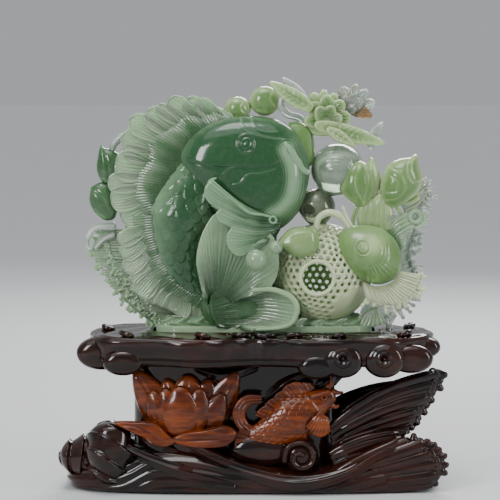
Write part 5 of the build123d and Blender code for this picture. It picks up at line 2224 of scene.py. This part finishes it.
@dataclass
class WoodCarp:
    """The amber carp in front of the core."""

    shop: Workshop
    pitch: float = 4.3

    def build(self) -> None:
        """Carve the fish, its spiny back fin, its tail loops and its belly fin."""
        seat = Seat.of("wood_carp_body")
        front = seat.low[1] + seat.size[1] * 0.4

        def skin(share: np.ndarray, angle: np.ndarray, along: np.ndarray) -> np.ndarray:
            """Small scales up to the gill, a gill step and a smooth face."""
            across = ((angle + math.pi / 2) % FULL_TURN - math.pi) * 13
            body = np.clip((0.74 - share) * 30, 0, 1) * np.clip(share * 8, 0, 1)
            length = along.max()
            gill = np.exp(-(((share - 0.76) / 0.012) ** 2))
            return 1.15 * scales(length - along, across, self.pitch) * body + 1.1 * gill

        middle = [(0.0, 0.1), (0.2, 0.17), (0.42, 0.35), (0.65, 0.58), (0.84, 0.78), (0.99, 0.9)]
        route = np.array([(*seat.line([spot])[0],) for spot in middle])
        route = np.column_stack([route[:, 0], np.full(len(route), front), route[:, 1]])
        body = rod("carp", route, [5, 9, 14, 18, 17, 12, 5], 0.6, cap=0.05, around=160, along=180, skin=skin)
        eye = seat.at(0.86, 0.02, 0.86)
        parts = [body, ring("carp", eye, 1.9, (0.7, 1.4), 32)]
        parts.append(rod("carp", np.array([eye + (0, 2.5, 0), eye - (0, 0.6, 0)]), [1.0, 1.0], cap=0.4,
                         around=16,
                         along=12))
        for run, radii in (
            ([(0.95, 0.95), (1.02, 0.92), (1.08, 0.93)], [2.6, 1.8, 0.8]),
            ([(0.9, 1.0), (0.95, 1.12), (0.93, 1.28)], [2.6, 1.8, 0.6]),
            ([(0.93, 0.72), (0.99, 0.66), (1.03, 0.7)], [2.2, 1.6, 0.8]),
        ):
            parts.append(rod("carp", seat.route((u, 0.35, v) for u, v in run), radii, 0.8, around=16,
                             along=30))
        self.shop.join("wood_carp_body", parts, AMBER)

        fins = Seat.of("wood_carp_fins")
        spine = Fan(
            "fin", seat.curve([(0.28, 0.42), (0.45, 0.62), (0.62, 0.86), (0.76, 1.0)], 80),
            arched(seat.line([(0.1, 0.5), (0.2, 0.68), (0.3, 0.82), (0.4, 0.96), (0.48, 1.08), (0.62, 1.1),
                              (0.74, 1.05)]),
                   0.12, 120),
            (front, front - 1), 15, 0.6, 2.6, samples=6, rows=20,
        ).build()
        belly = Fan(
            "fin", seat.curve([(0.82, 0.62), (0.86, 0.55), (0.9, 0.5)], 40),
            seat.curve([(0.66, 0.34), (0.74, 0.2), (0.84, 0.16), (0.93, 0.26)], 60),
            (front - 9, front - 8), 8, 0.6, 2.2, bow=1.5, samples=8, rows=20,
        ).build()
        parts = [spine, belly]
        for gap in (0.0, 3.2, 6.4):
            loop = fins.line([(0.3, 0.25), (0.06, 0.35), (-0.02, 0.6), (0.12, 0.82), (0.38, 0.84)])
            middle_point = fins.line([(0.36, 0.52)])[0]
            loop = middle_point + (loop - middle_point) * (1 - gap / 22)
            path = np.column_stack([loop[:, 0], np.full(len(loop), front - 2 + gap * 0.3), loop[:, 1]])
            parts.append(rod("fin", path, [1.2, 2.2, 2.4, 2.2, 1.2], 1.0, 3, 0.15, around=24, along=70))
        parts.append(Fan(
            "fin", fins.curve([(0.3, 0.2), (0.38, 0.12), (0.42, 0.04)], 30),
            fins.curve([(0.1, 0.42), (-0.02, 0.2), (0.0, -0.02), (0.2, -0.06)], 60),
            (front, front - 2), 7, 0.6, 2.6, samples=8, rows=20,
        ).build())
        self.shop.join("wood_carp_fins", parts, AMBER)


# ------------------------------------------------------------------ the studio
@dataclass
class Studio:
    """A pale floor, soft lights and a long lens in front."""

    width: float = 0.375
    distance: float = 1.7
    elevation: float = 5.0
    aim: tuple[float, float, float] = (-0.0015, 0.0, 0.176)
    lights: tuple[tuple[str, tuple[float, float, float], tuple[float, float], float], ...] = field(
        default=(
            ("key", (-1.0, -1.3, 0.75), (0.42, 0.7), 17.0),
            ("right", (1.3, -0.7, 0.55), (0.3, 0.9), 9.0),
            ("back", (0.3, 1.1, 0.9), (0.9, 0.5), 16.0),
            ("top", (-0.2, -0.3, 1.5), (0.6, 0.6), 8.0),
        )
    )

    def build(self) -> None:
        """Set up the floor, the world, the lights and the camera."""
        deselect()
        bpy.ops.mesh.primitive_plane_add(size=24)
        floor = bpy.context.object
        floor.name = "studio_floor"
        graph = Graph("studio_floor")
        shade = graph.mix(graph.noise(3.0, 3), (0.52, 0.53, 0.54), (0.56, 0.565, 0.57))
        floor.data.materials.append(graph.close(Base_Color=shade, Roughness=0.7))

        world = bpy.data.worlds.new("studio")
        world.use_nodes = True
        world.node_tree.nodes["Background"].inputs["Color"].default_value = (0.865, 0.885, 0.905, 1)
        world.node_tree.nodes["Background"].inputs["Strength"].default_value = 0.46
        bpy.context.scene.world = world
        sun = bpy.data.lights.new("sky", "SUN")
        sun.energy, sun.angle = 1.25, math.radians(60)
        self.point(bpy.data.objects.new("sky", sun), (-0.3, -0.6, 2.0))
        for name, place, size, power in self.lights:
            light = bpy.data.lights.new(name, "AREA")
            light.shape, light.size, light.size_y, light.energy = "RECTANGLE", *size, power
            self.point(bpy.data.objects.new(name, light), place)

        lens = bpy.data.cameras.new("camera")
        lens.lens = lens.sensor_width * self.distance / self.width
        lens.clip_start, lens.clip_end = 0.05, 60
        tilt = math.radians(self.elevation)
        back = np.array([0, -math.cos(tilt), math.sin(tilt)]) * self.distance
        camera = bpy.data.objects.new("camera", lens)
        self.point(camera, tuple(np.array(self.aim) + back))
        bpy.context.scene.camera = camera

    def point(self, item: bpy.types.Object, place: tuple[float, float, float]) -> None:
        """Put a light or the camera somewhere, facing the ornament."""
        bpy.context.collection.objects.link(item)
        item.location = place
        way = bpy.context.scene.cursor.location.copy()
        way.xyz = np.array(self.aim) - np.array(place)
        item.rotation_euler = way.to_track_quat("-Z", "Y").to_euler()


def main() -> None:
    """Build the ornament, then the studio, and log how many pieces were delivered."""
    logging.basicConfig(level=logging.INFO, format="%(message)s")
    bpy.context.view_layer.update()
    shop = Workshop()
    for maker in (Sea, Slab, Lotus, WoodCarp, Carp, LatticeBall, Pods, Blossoms, Goldfish, Shore):
        maker(shop).build()
        log.info("finished %s", maker.__name__)
    for node, finish in (("felt_pads", FELT), ("base_screws", STEEL), ("slab_dowels", BARE),
                         ("applique_pins", BARE)):
        shop.keep(node, finish)
    Studio().build()
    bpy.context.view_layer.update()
    log.info("%d pieces delivered", shop.count)


if __name__ == "__main__":
    main()
